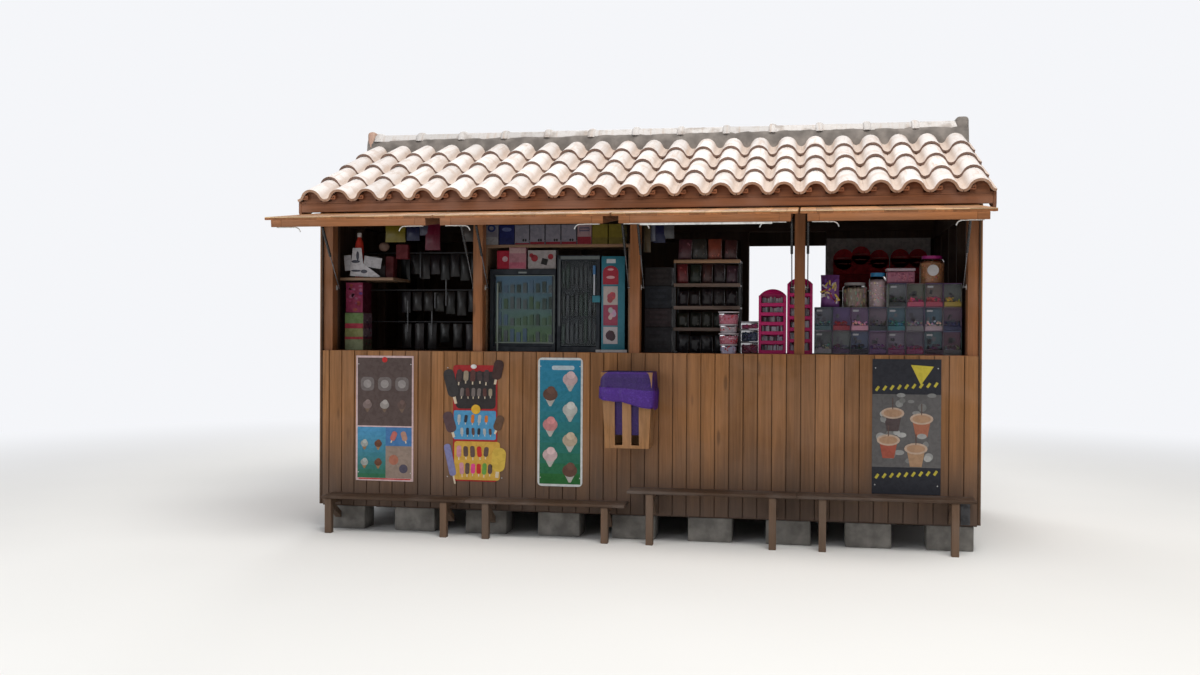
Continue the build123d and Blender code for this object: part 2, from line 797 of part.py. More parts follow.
# Ironwork on the posts and the head beam: strut studs, fixed hinge leaves and the corner plate
with BuildPart() as post_ironwork:
    for centre in bay_centres:
        for inward, face in ((1, centre - bay_opening / 2), (-1, centre + bay_opening / 2)):
            plate_start = min(face, face + inward * bracket_thickness)
            with BuildSketch(Plane.YZ.offset(plate_start)):
                with Locations((foot_y, foot_z)):
                    Rectangle(stud_plate_width, stud_plate_height)
            extrude(amount=bracket_thickness)
            stud_end = face + inward * (strut_side_gap - eye_thickness / 2 - fit_gap)
            with BuildSketch(Plane.YZ.offset(min(face, stud_end))):
                with Locations((foot_y, foot_z)):
                    Circle(stud_radius)
            extrude(amount=abs(stud_end - face))
        for x in hinge_places:
            knuckle_centre = centre + x + knuckle_length + 1
            with BuildSketch(Plane.YZ.offset(knuckle_centre - knuckle_length / 2)):
                with Locations((pivot_y, pivot_height)):
                    Circle(knuckle_radius)
            extrude(amount=knuckle_length)
            with BuildSketch(Plane.XZ.offset(-front_face + fit_gap)):
                with Locations((knuckle_centre, pivot_height + leaf_reach / 4)):
                    Rectangle(knuckle_length, leaf_reach / 2)
            extrude(amount=leaf_thickness)
    with BuildSketch(Plane.XZ.offset(-front_face)):
        with Locations((half_length - corner_plate_inset, cladding_bottom + corner_plate_lift)):
            Rectangle(corner_plate_width, corner_plate_height)
    extrude(amount=corner_plate_thickness)
finish(post_ironwork, "post_ironwork")


# Benches: two lengths of seat each, on trestles of a leg, a bearer and a knee brace
left_bench_ends = -half_length + bench_end_inset[0], bench_meeting[0]
right_bench_ends = bench_meeting[1], half_length - bench_end_inset[1]
for bench_name, height, (start, end), seam_shift, insets in (
    ("left_bench", left_bench_height, left_bench_ends, bench_seam_shift[0], left_leg_insets),
    ("right_bench", right_bench_height, right_bench_ends, bench_seam_shift[1], right_leg_insets),
):
    seam = (start + end) / 2 + seam_shift
    places = (start + insets[0], seam - insets[1], seam + insets[2], end - insets[3])
    with BuildPart() as bench_seat:
        with BuildSketch(Plane.XY.offset(height - bench_board_thickness + fit_gap)):
            for low, high in ((start, seam - 1), (seam + 1, end)):
                with Locations(((low + high) / 2, front_face - fit_gap - bench_depth / 2)):
                    Rectangle(high - low, bench_depth)
        extrude(amount=bench_board_thickness - fit_gap)
    finish(bench_seat, f"{bench_name}_seat")

    with BuildPart() as bench_frame:
        bearer_top = height - bench_board_thickness
        bearer_bottom = bearer_top - bearer_height
        bench_front = front_face - bench_depth + bench_front_lap
        wall_side = front_face - fit_gap
        for place in places:
            with BuildSketch(Plane.YZ.offset(place - leg_width / 2)):
                with Locations((bench_front + leg_width / 2, bearer_top / 2)):
                    Rectangle(leg_width, bearer_top)
                with Locations(((bench_front + wall_side) / 2, (bearer_top + bearer_bottom) / 2)):
                    Rectangle(wall_side - bench_front, bearer_height)
                with BuildLine():
                    Polyline(
                        (wall_side, bearer_bottom - brace_drop),
                        (wall_side, bearer_bottom - brace_drop + 1.4 * brace_width),
                        (bench_front + leg_width + brace_foot, bearer_bottom),
                        (bench_front + leg_width, bearer_bottom),
                        (bench_front + leg_width, bearer_bottom - brace_foot),
                        close=True,
                    )
                make_face()
            extrude(amount=leg_width)
    finish(bench_frame, f"{bench_name}_frame")


def bin_size(height, inset):
    # Width, depth and centre of the bin's taper at a height above its floor, drawn in by inset.
    share = height / bin_height
    width = bin_bottom_width + (bin_top_width - bin_bottom_width) * share - 2 * inset
    depth = bin_bottom_depth + (bin_top_depth - bin_bottom_depth) * share - 2 * inset
    return width, depth, (bin_centre, front_face - fit_gap - depth / 2 - inset)


# Litter bin of upright slats on the front wall
with BuildPart() as litter_bin:
    for inset, bin_floor, blend in ((0, 0, Mode.ADD), (bin_wall, bin_wall, Mode.SUBTRACT)):
        for height in (bin_floor, bin_height):
            width, depth, centre = bin_size(height, inset)
            with BuildSketch(Plane.XY.offset(bin_bottom_height + height)):
                with Locations(centre):
                    Rectangle(width, depth)
        loft(ruled=True, mode=blend)
    slot_middle = bin_bottom_height + (bin_height - bin_hoop) / 2 + bin_wall / 2
    slot_height = bin_height - bin_hoop - 2 * bin_wall
    with BuildSketch(Plane.XZ.offset(-front_face + bin_wall)):
        with Locations((bin_centre, slot_middle)):
            with GridLocations(front_gap_pitch, 1, 2, 1):
                Rectangle(front_gap_width, slot_height)
    extrude(amount=bin_top_depth, mode=Mode.SUBTRACT)
    with BuildSketch(Plane.YZ.offset(bin_centre - bin_top_width)):
        with Locations((front_face - bin_bottom_depth / 2, slot_middle)):
            with GridLocations(side_gap_pitch, 1, 2, 1):
                Rectangle(side_gap_width, slot_height)
    extrude(amount=2 * bin_top_width, mode=Mode.SUBTRACT)
finish(litter_bin, "litter_bin")

# Bag that lines the bin and is folded over its rim as a loose skirt
liner_inset = bin_wall + bag_clearance
liner_floor = bin_height - bag_depth
bag_top = bin_height + fit_gap + bag_thickness
with BuildPart() as bin_bag:
    for inset, low, high, blend in (
        (-bag_flare - bag_thickness, bin_height - bag_skirt, bag_top, Mode.ADD),
        (-bag_flare, bin_height - bag_skirt, bin_height + fit_gap, Mode.SUBTRACT),
        (liner_inset, liner_floor, bag_top, Mode.ADD),
        (liner_inset + bag_thickness, liner_floor + bag_thickness, bag_top, Mode.SUBTRACT),
    ):
        for height in (low, high):
            width, depth, centre = bin_size(height, inset)
            with BuildSketch(Plane.XY.offset(bin_bottom_height + height)):
                with Locations(centre):
                    Rectangle(width, depth)
        loft(ruled=True, mode=blend)
    with BuildSketch(Plane.XY.offset(bin_bottom_height)):
        with Locations((bin_centre, front_face - fit_gap + bin_top_depth / 2)):
            Rectangle(2 * bin_top_width, bin_top_depth)
    extrude(amount=2 * bin_height, mode=Mode.SUBTRACT)
finish(bin_bag, "bin_bag")

# Counter inside the openings: a plank on legs
counter_back = frame_back + counter_depth
counter_half = half_length - board_thickness - side_frame_depth - fit_gap
with BuildPart() as counter_top:
    with BuildSketch(Plane.XY.offset(sill_height - counter_thickness)):
        with Locations((0, (frame_back + fit_gap + counter_back) / 2)):
            Rectangle(2 * counter_half, counter_depth - fit_gap)
    extrude(amount=counter_thickness)
finish(counter_top, "counter_top")

with BuildPart() as counter_legs:
    with BuildSketch(Plane.XY.offset(floor_top)):
        with Locations((0, counter_back - counter_leg_width)):
            leg_pitch = 2 * (counter_half - counter_leg_inset) / (counter_leg_count - 1)
            with GridLocations(leg_pitch, 1, counter_leg_count, 1):
                Rectangle(counter_leg_width, counter_leg_width)
    extrude(amount=sill_height - counter_thickness - floor_top)
finish(counter_legs, "counter_legs")

# Posters fixed flat to the front wall
with BuildPart() as posters:
    with BuildSketch(Plane.XZ.offset(-front_face + fit_gap)):
        for left, right, bottom, top in poster_edges:
            with Locations(((left + right) / 2, (bottom + top) / 2)):
                Rectangle(right - left, top - bottom)
    extrude(amount=poster_thickness)
finish(posters, "posters")

# Shelf at the left wall, and a high shelf on two uprights over the cabinets
shelf_front = front_face + shelf_setback
left_edge = -half_length + board_thickness + side_frame_depth + fit_gap
bay_lefts = [centre - bay_opening / 2 for centre in bay_centres]
bay_rights = [centre + bay_opening / 2 for centre in bay_centres]
left_shelf_height = sill_height + left_shelf_rise
high_shelf_height = header_bottom - high_shelf_drop
high_shelf_start = bay_lefts[1] - high_shelf_lap
high_shelf_end = bay_rights[1] - high_shelf_gap
with BuildPart() as inner_shelves:
    with BuildSketch(Plane.XY.offset(left_shelf_height - shelf_thickness)):
        with Locations((left_edge + left_shelf_width / 2, shelf_front + left_shelf_depth / 2)):
            Rectangle(left_shelf_width, left_shelf_depth)
    extrude(amount=shelf_thickness)
    with BuildSketch(Plane.XY.offset(high_shelf_height - shelf_thickness)):
        with Locations(((high_shelf_start + high_shelf_end) / 2, shelf_front + high_shelf_depth / 2)):
            Rectangle(high_shelf_end - high_shelf_start, high_shelf_depth)
    extrude(amount=shelf_thickness)
    with BuildSketch(Plane.XY.offset(sill_height + fit_gap)):
        for x in (high_shelf_start + upright_width / 2, high_shelf_end - upright_width / 2):
            with Locations((x, shelf_front + high_shelf_depth / 2)):
                Rectangle(upright_width, high_shelf_depth)
    extrude(amount=high_shelf_height - shelf_thickness - sill_height - 2 * fit_gap)
finish(inner_shelves, "inner_shelves")

# Cartons stacked on the counter
dark_carton_start = bay_lefts[2] + dark_carton_gap
with BuildPart() as cartons:
    carton_left = -inner_half_length + carton_post_gap
    stack_bottom = sill_height + fit_gap
    stack_height = left_shelf_height - shelf_thickness - carton_head_gap - sill_height
    for height in (stack_height - upper_carton_height, upper_carton_height):
        with BuildSketch(Plane.XY.offset(stack_bottom)):
            with Locations((carton_left + carton_width / 2, shelf_front + carton_depth / 2)):
                Rectangle(carton_width, carton_depth)
        extrude(amount=height - fit_gap)
        stack_bottom += height
    with BuildSketch(Plane.XY.offset(sill_height + fit_gap)):
        with Locations((dark_carton_start + carton_width / 2, rack_setback + front_face + carton_depth / 2)):
            Rectangle(carton_width, carton_depth)
    extrude(amount=dark_carton_height)
finish(cartons, "cartons")

# Display cabinets with a framed, recessed front: the middle one takes up the rest of the row
row_start = bay_lefts[1] + cabinet_left_gap
row_end = bay_rights[1] - cabinet_right_gap
left_cabinet_end = row_start + left_cabinet_width
right_cabinet_start = row_end - right_cabinet_width
cabinet_edges = (
    (row_start, left_cabinet_end),
    (left_cabinet_end + cabinet_gap, right_cabinet_start - cabinet_gap),
    (right_cabinet_start, row_end),
)
with BuildPart() as display_cabinets:
    for (low, high), head_gap in zip(cabinet_edges, cabinet_head_gaps):
        height = high_shelf_height - shelf_thickness - head_gap - sill_height
        with BuildSketch(Plane.XY.offset(sill_height + fit_gap)):
            with Locations(((low + high) / 2, shelf_front + cabinet_depth / 2)):
                Rectangle(high - low - cabinet_gap, cabinet_depth)
        extrude(amount=height)
        with BuildSketch(Plane.XZ.offset(-shelf_front)):
            with Locations(((low + high) / 2, sill_height + fit_gap + height / 2)):
                Rectangle(high - low - cabinet_gap - 2 * cabinet_border, height - 3 * cabinet_border)
        extrude(amount=-cabinet_recess, mode=Mode.SUBTRACT)
finish(display_cabinets, "display_cabinets")

# Places of the racks and drawers, from the last opening's left post leftwards
drawer_start = bay_lefts[3] + drawer_post_gap
drawer_end = inner_half_length - drawer_end_gap
third_row_start = drawer_start + third_row_shift
right_candy_start = drawer_start - candy_drawer_gap - candy_rack_widths[1]
left_candy_start = right_candy_start - candy_rack_gap - candy_rack_widths[0]
rack_start = dark_carton_start + carton_width + rack_carton_gap
rack_end = left_candy_start - rack_candy_gap

# Open snack rack: two end frames joined by shelves
with BuildPart() as snack_rack:
    rack_front = front_face + rack_setback
    for x in (rack_start, rack_end - rack_bar):
        with BuildSketch(Plane.YZ.offset(x)):
            with Locations((rack_front + rack_depth / 2, sill_height + fit_gap + rack_heights[-1] / 2)):
                Rectangle(rack_depth, rack_heights[-1])
                Rectangle(rack_depth - 2 * rack_bar, rack_heights[-1] - 2 * rack_bar, mode=Mode.SUBTRACT)
        extrude(amount=rack_bar)
    for height in rack_heights:
        with BuildSketch(Plane.XY.offset(sill_height + fit_gap + height - rack_bar)):
            with Locations(((rack_start + rack_end) / 2, rack_front + rack_depth / 2)):
                Rectangle(rack_end - rack_start, rack_depth)
        extrude(amount=rack_bar)
finish(snack_rack, "snack_rack")

# Candy racks: a round-topped back with shallow shelves
with BuildPart() as candy_racks:
    candy_front = front_face + rack_setback
    candy_starts = left_candy_start, right_candy_start
    for low, width, height in zip(candy_starts, candy_rack_widths, candy_rack_heights):
        high = low + width
        with BuildSketch(Plane.XZ.offset(-candy_front - candy_rack_depth)):
            with BuildLine():
                Line((low, sill_height + fit_gap), (high, sill_height + fit_gap))
                Line((high, sill_height + fit_gap), (high, sill_height + height - width / 4))
                ThreePointArc(
                    (high, sill_height + height - width / 4),
                    (low + width / 2, sill_height + height),
                    (low, sill_height + height - width / 4),
                )
                Line((low, sill_height + height - width / 4), (low, sill_height + fit_gap))
            make_face()
        extrude(amount=candy_wall)
        shelf_pitch = (height - width / 4 - candy_wall) / candy_shelf_count
        for i in range(candy_shelf_count):
            with BuildSketch(Plane.XY.offset(sill_height + fit_gap + i * shelf_pitch)):
                with Locations(((low + high) / 2, candy_front + candy_rack_depth / 2)):
                    Rectangle(width, candy_rack_depth)
            extrude(amount=candy_wall)
finish(candy_racks, "candy_racks")

# Rows of sweet drawers, the third row over the right half only
drawer_front = front_face + rack_setback
with BuildPart() as drawer_units:
    row_bottom = sill_height + fit_gap
    for row, height in enumerate(drawer_heights):
        low = third_row_start if row == 2 else drawer_start
        with BuildSketch(Plane.XY.offset(row_bottom)):
            with Locations(((low + drawer_end) / 2, drawer_front + drawer_depth / 2)):
                Rectangle(drawer_end - low, drawer_depth)
        extrude(amount=height - fit_gap)
        row_bottom += height
finish(drawer_units, "drawer_units")

# Tubs and jars standing on the drawers
with BuildPart() as sweet_tubs:
    second_top = sill_height + fit_gap + sum(drawer_heights[:2])
    third_top = second_top + drawer_heights[2]
    for shift, width, height in second_row_tubs:
        with BuildSketch(Plane.XY.offset(second_top)):
            with Locations((drawer_start + shift, drawer_front + width / 2 + tub_setback)):
                Circle(width / 2)
        extrude(amount=height)
    shift, width, height = flat_tub
    with BuildSketch(Plane.XY.offset(third_top)):
        with Locations((third_row_start + shift, drawer_front + width / 2 + tub_setback)):
            RectangleRounded(width, width * flat_tub_share, tub_corner)
    extrude(amount=height)
    shift, width, height = third_row_jar
    with BuildSketch(Plane.XY.offset(third_top)):
        with Locations((third_row_start + shift, drawer_front + width / 2 + tub_setback)):
            Circle(width / 2)
    extrude(amount=height)
finish(sweet_tubs, "sweet_tubs")

# Pale board on the back wall
with BuildPart() as back_board:
    with BuildSketch(Plane.XZ.offset(-(back_front - fit_gap))):
        board_start = door_right + board_door_gap
        board_end = inner_half_length - back_board_end_gap
        board_middle = header_bottom - back_board_drop - back_board_height / 2
        with Locations(((board_start + board_end) / 2, board_middle)):
            Rectangle(board_end - board_start, back_board_height)
    extrude(amount=back_board_thickness)
finish(back_board, "back_board")
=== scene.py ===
"""Street kiosk: the timber hut, its tiled roof, lifting flaps, benches, bin and goods, dressed for a render.

Metres. X runs along the serving front, -Y faces the customer, +Z is up.
"""

import random
from math import cos, pi, radians, sin, tan

import bmesh
import bpy
from bpy.props import FloatProperty, FloatVectorProperty, IntProperty, PointerProperty
from mathutils import Matrix, Vector, noise


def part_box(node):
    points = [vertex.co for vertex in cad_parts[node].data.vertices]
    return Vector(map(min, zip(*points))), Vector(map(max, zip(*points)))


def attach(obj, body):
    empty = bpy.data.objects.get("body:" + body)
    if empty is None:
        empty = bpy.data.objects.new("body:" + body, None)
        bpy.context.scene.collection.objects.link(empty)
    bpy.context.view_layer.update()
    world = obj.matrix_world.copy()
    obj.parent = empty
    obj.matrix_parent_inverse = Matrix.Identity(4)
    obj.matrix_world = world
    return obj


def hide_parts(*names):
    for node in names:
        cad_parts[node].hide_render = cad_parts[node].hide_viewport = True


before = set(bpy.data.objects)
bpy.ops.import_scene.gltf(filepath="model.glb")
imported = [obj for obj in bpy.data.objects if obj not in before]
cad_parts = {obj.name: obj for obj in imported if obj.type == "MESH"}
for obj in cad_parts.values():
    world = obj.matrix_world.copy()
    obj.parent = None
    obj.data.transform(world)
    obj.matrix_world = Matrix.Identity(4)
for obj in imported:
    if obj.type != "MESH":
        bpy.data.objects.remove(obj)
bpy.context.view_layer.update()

bl_info = {
    "name": "Street Kiosk",
    "version": (1, 0, 0),
    "blender": (4, 5, 0),
    "location": "View3D > Sidebar > Kiosk",
    "description": "Boards, tiles, flaps, benches and goods of a timber street kiosk",
    "category": "Add Mesh",
}

# Places read from the frame
WALL_LOW, WALL_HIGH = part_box("side_wall_boards")
FRONT_LOW, FRONT_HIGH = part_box("front_wall_boards")
SILL = FRONT_HIGH.z
FRONT_FACE = FRONT_LOW.y
HALF_DEPTH = WALL_HIGH.y

# Walls: thickness of a board, boards on a gable wall, and the openings
BOARD = 0.02
BOARD_FACE = 0.011
SIDE_COUNT = 23
DOOR_LOW, DOOR_HIGH, DOOR_TOP = 0.68, 1.325, 2.175
BAY_OPENING = 1.0525
BAY_PITCH = 1.1225
BAY_CENTRES = [BAY_PITCH * (i - 1.5) for i in range(4)]
FLOOR_COUNT = 16
POST_DEPTH = 0.109

# Roof: the plane of the tiles' valleys, and the wave of one tile
SLOPE = radians(22)
EAVE_HEIGHT = 2.34
EAVE_REACH = HALF_DEPTH + 0.285
ROOF_LENGTH = 4.687
TILE_COUNT = 23
TILE_PITCH = ROOF_LENGTH / TILE_COUNT
TILE_RISE = 0.07
TILE_TILT = -0.062
HUMP_RADIUS = 0.076
HOLLOW_RADIUS = 0.03316
WAVE_ANGLE = 1.2039
ROOF_RUN = 1.4375
DECK_DROP = 0.0328
UNDER_DECK = DECK_DROP + 0.001

# Ridge: tiles, the blocks that close its ends, and how flat the half-round tiles lie
RIDGE_COUNT = 13
RIDGE_END = 0.062
RIDGE_SQUASH = 0.725

# Flaps: the turned plane that each one lies in, the boards' top and underside and the rails below them
PIVOT_Y, PIVOT_Z = -1.106, 2.288
DROOP = radians(7.4)
FLAP_REACH = 0.996
FLAP_TOP = -0.006
FLAP_DEPTH = 0.065
FLAP_WIDTH = 1.1105
BOARD_UNDER = -0.0254
RAIL_TOP = -0.0256
RAIL_WIDTH = 0.07
RAIL_SPAN = 1.0285

# Goods: the counter they stand on, and the front faces of cabinets, left shelf and racks
COUNTER = 1.2874
CABINET_FRONT = -0.95
SHELF_FRONT = -0.93
RACK_FRONT = -0.9


def roof_height(y, drop=0.0):
    """Height of the plane that lies drop below the tiles' valleys."""
    return EAVE_HEIGHT + (EAVE_REACH - abs(y)) * tan(SLOPE) - drop / cos(SLOPE)


def leaning(place, angle, axis="Y"):
    """Puts a piece's own origin at a place and turns the piece there."""
    return Matrix.Translation(place) @ Matrix.Rotation(angle, 4, axis)


def flap_matrix(centre):
    """Turns a flap's own axes (along, back to the pivot, up) into the kiosk's axes."""
    return leaning((centre, PIVOT_Y, PIVOT_Z), DROOP, "X")


# ---------------------------------------------------------------- sizes and colours


def length(name, description, default):
    """A length property in metres."""
    return FloatProperty(name=name, description=description, default=default, unit="LENGTH")


def colour(name, description, default):
    """A colour property in linear light."""
    limits = {"subtype": "COLOR", "size": 3, "min": 0.0, "max": 1.0}
    return FloatVectorProperty(name=name, description=description, default=default, **limits)


class KioskSizes(bpy.types.PropertyGroup):
    """Sizes of the pieces that are added to the frame."""

    board_pitch: length("Board pitch", "Width of a wall board with its joint", 0.09603)
    first_joint: length("First joint", "Place of the first joint on the front wall", -2.2267)
    board_chamfer: length("Board chamfer", "Bevel along both edges of a board", 0.0025)
    groove: length("Groove", "Gap between the faces of two wall boards", 0.0044)
    tile_exposure: length("Tile exposure", "Visible length of one course of tiles", 0.352)
    tile_lap: length("Tile lap", "Length of a tile under the next course", 0.045)
    tile_thickness: length("Tile thickness", "Thickness of a clay tile", 0.017)
    tile_courses: IntProperty(name="Tile courses", description="Courses on each slope", default=4, min=1)
    slat_chamfer: length("Timber chamfer", "Rounding of the timbers' edges", 0.003)
    sill_strip: length("Sill strip", "Thickness of the light strip on each sill", 0.0012)


class KioskColours(bpy.types.PropertyGroup):
    """Stains, clays and other colours of the kiosk."""

    # The wall and post stains are set somewhat darker than the timber's own colour, partly as painted shade.
    wall: colour("Wall stain", "Honey-brown stain of the wall boards", (0.255, 0.114, 0.04))
    post: colour("Post stain", "Orange-brown stain of the posts", (0.235, 0.09, 0.031))
    flap: colour("Flap stain", "Stain of the flaps", (0.29, 0.135, 0.05))
    # The fascia stain is darkened as painted shadow of the tiles over it.
    fascia: colour("Fascia stain", "Orange-brown stain of the eave boards", (0.175, 0.063, 0.024))
    # The benches' dark stain is darkened further as painted shade on the seats; the legs use it 1.7 times
    # brighter.
    bench: colour("Bench stain", "Worn dark stain of the benches", (0.058, 0.031, 0.017))
    bin: colour("Bin stain", "Honey stain of the litter bin", (0.26, 0.125, 0.046))
    # The inside timber is darkened as painted shade inside the hut.
    inside: colour("Inside timber", "Dark timber inside the hut", (0.06, 0.03, 0.016))
    clay: colour("Tile clay", "Pale clay on the tiles' crests", (0.755, 0.712, 0.695))
    # Painted shade: the tiles' hollows and flanks take this darker tan, set by how high each point lies.
    clay_hollow_shade: colour("Tile hollows", "Tan clay in the tiles' hollows", (0.57, 0.478, 0.42))
    clay_streak: colour("Clay streaks", "Tan streaks on the tiles", (0.5, 0.375, 0.3))
    mortar: colour("Mortar", "Cement mortar under the ridge tiles", (0.2, 0.18, 0.165))
    # The footing concrete is darkened as painted shade under the kiosk.
    concrete: colour("Footing concrete", "Concrete of the footing blocks", (0.2, 0.188, 0.172))
    zinc: colour("White ironwork", "Zinc-coated fittings", (0.7, 0.7, 0.68))
    film: colour("Bag film", "Purple film of the bin bag", (0.03, 0.005, 0.11))
    floor: colour("Studio floor", "Pale floor under the kiosk", (0.8, 0.8, 0.79))


# Weathered softwood near the ground
DRIFTWOOD = (0.3, 0.27, 0.24)


def scaled(tint, factor):
    """A colour made darker or brighter."""
    return [factor * c for c in tint]


# ---------------------------------------------------------------- shader recipes


class Recipe:
    """Adds nodes to one material or node group and joins them."""

    def __init__(self, tree):
        self.tree = tree

    def feed(self, node, inputs):
        """Joins sockets to a node's inputs, or sets their values; underscores stand for spaces."""
        for key, value in inputs.items():
            socket = node.inputs[key.replace("_", " ") if isinstance(key, str) else key]
            if isinstance(value, bpy.types.NodeSocket):
                self.tree.links.new(value, socket)
            else:
                socket.default_value = value

    def add(self, kind, inputs=None, **settings):
        node = self.tree.nodes.new(kind)
        for key, value in settings.items():
            setattr(node, key, value)
        self.feed(node, inputs or {})
        return node

    def math(self, operation, first, second=0.0):
        return self.add("ShaderNodeMath", {0: first, 1: second}, operation=operation).outputs[0]

    def vector(self, operation, first, second):
        return self.add("ShaderNodeVectorMath", {0: first, 1: second}, operation=operation).outputs[0]

    def noise(self, vector, scale, detail=3.0, distortion=0.0):
        inputs = {"Vector": vector, "Scale": scale, "Detail": detail, "Distortion": distortion}
        return self.add("ShaderNodeTexNoise", inputs).outputs["Fac"]

    def band(self, value, low, high, out_low=0.0, out_high=1.0):
        inputs = {"Value": value, "From Min": low, "From Max": high, "To Min": out_low, "To Max": out_high}
        return self.add("ShaderNodeMapRange", inputs, interpolation_type="SMOOTHSTEP").outputs[0]

    def mix(self, factor, first, second):
        return self.add("ShaderNodeMix", {0: factor, 6: first, 7: second}, data_type="RGBA").outputs[2]

    def cover(self, value, share, first, tint):
        """A tint laid over a colour by a share of a value."""
        return self.mix(self.math("MULTIPLY", value, share), first, (*tint, 1))

    def shade(self, tint, value):
        """The colour brightened or darkened by a value about one."""
        return self.add("ShaderNodeHueSaturation", {"Value": value, "Color": tint}).outputs[0]

    def bump(self, shader, height, distance, strength=0.6):
        """Feeds a height into the shader's normal."""
        inputs = {"Strength": strength, "Distance": distance, "Height": height}
        self.feed(shader, {"Normal": self.add("ShaderNodeBump", inputs).outputs[0]})


def new_group(name, inputs, *outputs):
    """A new node group with named sockets: its recipe, its inlets and a function that joins its outlets."""
    group = bpy.data.node_groups.new(name, "ShaderNodeTree")
    for socket_name, default in inputs.items():
        kind = "NodeSocketFloat" if isinstance(default, float) else "NodeSocketVector"
        socket = group.interface.new_socket(socket_name, in_out="INPUT", socket_type=kind)
        if default is not None:
            socket.default_value = default
    for socket_name in outputs:
        group.interface.new_socket(socket_name, in_out="OUTPUT", socket_type="NodeSocketFloat")
    recipe = Recipe(group)
    inlet = recipe.add("NodeGroupInput").outputs
    outlet = recipe.add("NodeGroupOutput")

    def leave(**values):
        recipe.feed(outlet, values)
        return group

    return recipe, inlet, leave


def build_grain_group():
    """Grain of sawn or planed timber: long streaks, fine pores and a few knots."""
    inputs = {"Vector": None, "Stretch": (20.0, 20.0, 1.5), "Tone": 0.5}
    recipe, inlet, leave = new_group("Timber Grain", inputs, "Streak", "Pore", "Knot")
    offset = recipe.math("MULTIPLY", inlet["Tone"], 37.0)
    shift = recipe.add("ShaderNodeCombineXYZ", {axis: offset for axis in range(3)}).outputs[0]
    stretched = recipe.vector("MULTIPLY", recipe.vector("ADD", inlet["Vector"], shift), inlet["Stretch"])
    squeezed = recipe.vector("MULTIPLY", stretched, (0.22, 0.22, 1.6))
    cells = recipe.add("ShaderNodeTexVoronoi", {"Vector": squeezed, "Scale": 1.0}).outputs["Distance"]
    return leave(
        Streak=recipe.noise(stretched, 1.0, 5.0, 1.2),
        Pore=recipe.noise(stretched, 9.0, 2.0),
        Knot=recipe.band(cells, 0.05, 0.13, 1.0, 0.0),
    )


def build_weather_group():
    """Weathering of outdoor timber and painted shade: a splash zone near the ground, for greyed weathering
    and painted shade, and faded patches.
    """
    inputs = {"Vector": None, "Splash Bottom": 0.17, "Splash Top": 0.55}
    recipe, inlet, leave = new_group("Timber Weather", inputs, "Splash", "Fade")
    place = inlet["Vector"]
    height = recipe.add("ShaderNodeSeparateXYZ", {0: place}).outputs["Z"]
    wander = recipe.noise(recipe.vector("MULTIPLY", place, (9.0, 9.0, 2.0)), 1.0, 4.0)
    lifted = recipe.math("ADD", height, recipe.math("MULTIPLY", wander, -0.3))
    low = recipe.math("ADD", inlet["Splash Bottom"], -0.15)
    high = recipe.math("ADD", inlet["Splash Top"], -0.15)
    return leave(
        Splash=recipe.band(lifted, low, high, 1.0, 0.0),
        Fade=recipe.band(recipe.noise(place, 2.6, 4.0, 0.6), 0.38, 0.68),
    )


def build_clay_group():
    """Fired clay: faint streaks down the slope, small pits and patches of weathering."""
    inputs = {"Vector": None, "Tone": 0.5, "Patch Scale": 7.0}
    recipe, inlet, leave = new_group("Clay Surface", inputs, "Streak", "Patch", "Pit", "Height")
    offset = recipe.math("MULTIPLY", inlet["Tone"], 23.0)
    shift = recipe.add("ShaderNodeCombineXYZ", {"X": offset, "Y": offset}).outputs[0]
    moved = recipe.vector("ADD", inlet["Vector"], shift)
    pit = recipe.band(recipe.noise(moved, 160.0, 2.0), 0.62, 0.74)
    grit = recipe.noise(moved, 320.0, 3.0)
    return leave(
        Streak=recipe.noise(recipe.vector("MULTIPLY", moved, (34.0, 3.0, 3.0)), 1.0, 4.0, 0.5),
        Patch=recipe.noise(moved, inlet["Patch Scale"], 5.0),
        Pit=pit,
        Height=recipe.math("SUBTRACT", recipe.math("MULTIPLY", grit, 0.5), pit),
    )


def build_grime_group():
    """Light handling marks and dust for metal, film, board and plastic."""
    inputs = {"Vector": None, "Scale": 12.0}
    recipe, inlet, leave = new_group("Handling Marks", inputs, "Smudge", "Speck", "Height")
    sizing = {0: inlet["Vector"], "Scale": inlet["Scale"]}
    place = recipe.add("ShaderNodeVectorMath", sizing, operation="SCALE").outputs[0]
    return leave(
        Smudge=recipe.band(recipe.noise(place, 1.0, 5.0, 0.8), 0.35, 0.7),
        Speck=recipe.band(recipe.noise(place, 14.0, 2.0), 0.64, 0.74),
        Height=recipe.noise(place, 30.0, 2.0),
    )


MAKERS = {
    "Timber Grain": build_grain_group,
    "Timber Weather": build_weather_group,
    "Clay Surface": build_clay_group,
    "Handling Marks": build_grime_group,
}


def effect(recipe, name, **inputs):
    """Places a node group, built the first time it is asked for, and returns its outputs."""
    tree = bpy.data.node_groups.get(name) or MAKERS[name]()
    return recipe.add("ShaderNodeGroup", inputs, node_tree=tree).outputs


def start_material(name, roughness=0.6, **constants):
    """The recipe of a new material, its principled shader, the place and the tint of the surface."""
    material = bpy.data.materials.new(f"kiosk_{name}")
    material.use_nodes = True
    material.node_tree.nodes.clear()
    recipe = Recipe(material.node_tree)
    shader = recipe.add("ShaderNodeBsdfPrincipled", {"Roughness": roughness, **constants})
    recipe.add("ShaderNodeOutputMaterial", {"Surface": shader.outputs[0]})
    place = recipe.add("ShaderNodeTexCoord").outputs["Object"]
    tint = recipe.add("ShaderNodeAttribute", attribute_name="tint", attribute_type="GEOMETRY")
    return recipe, shader, place, tint.outputs


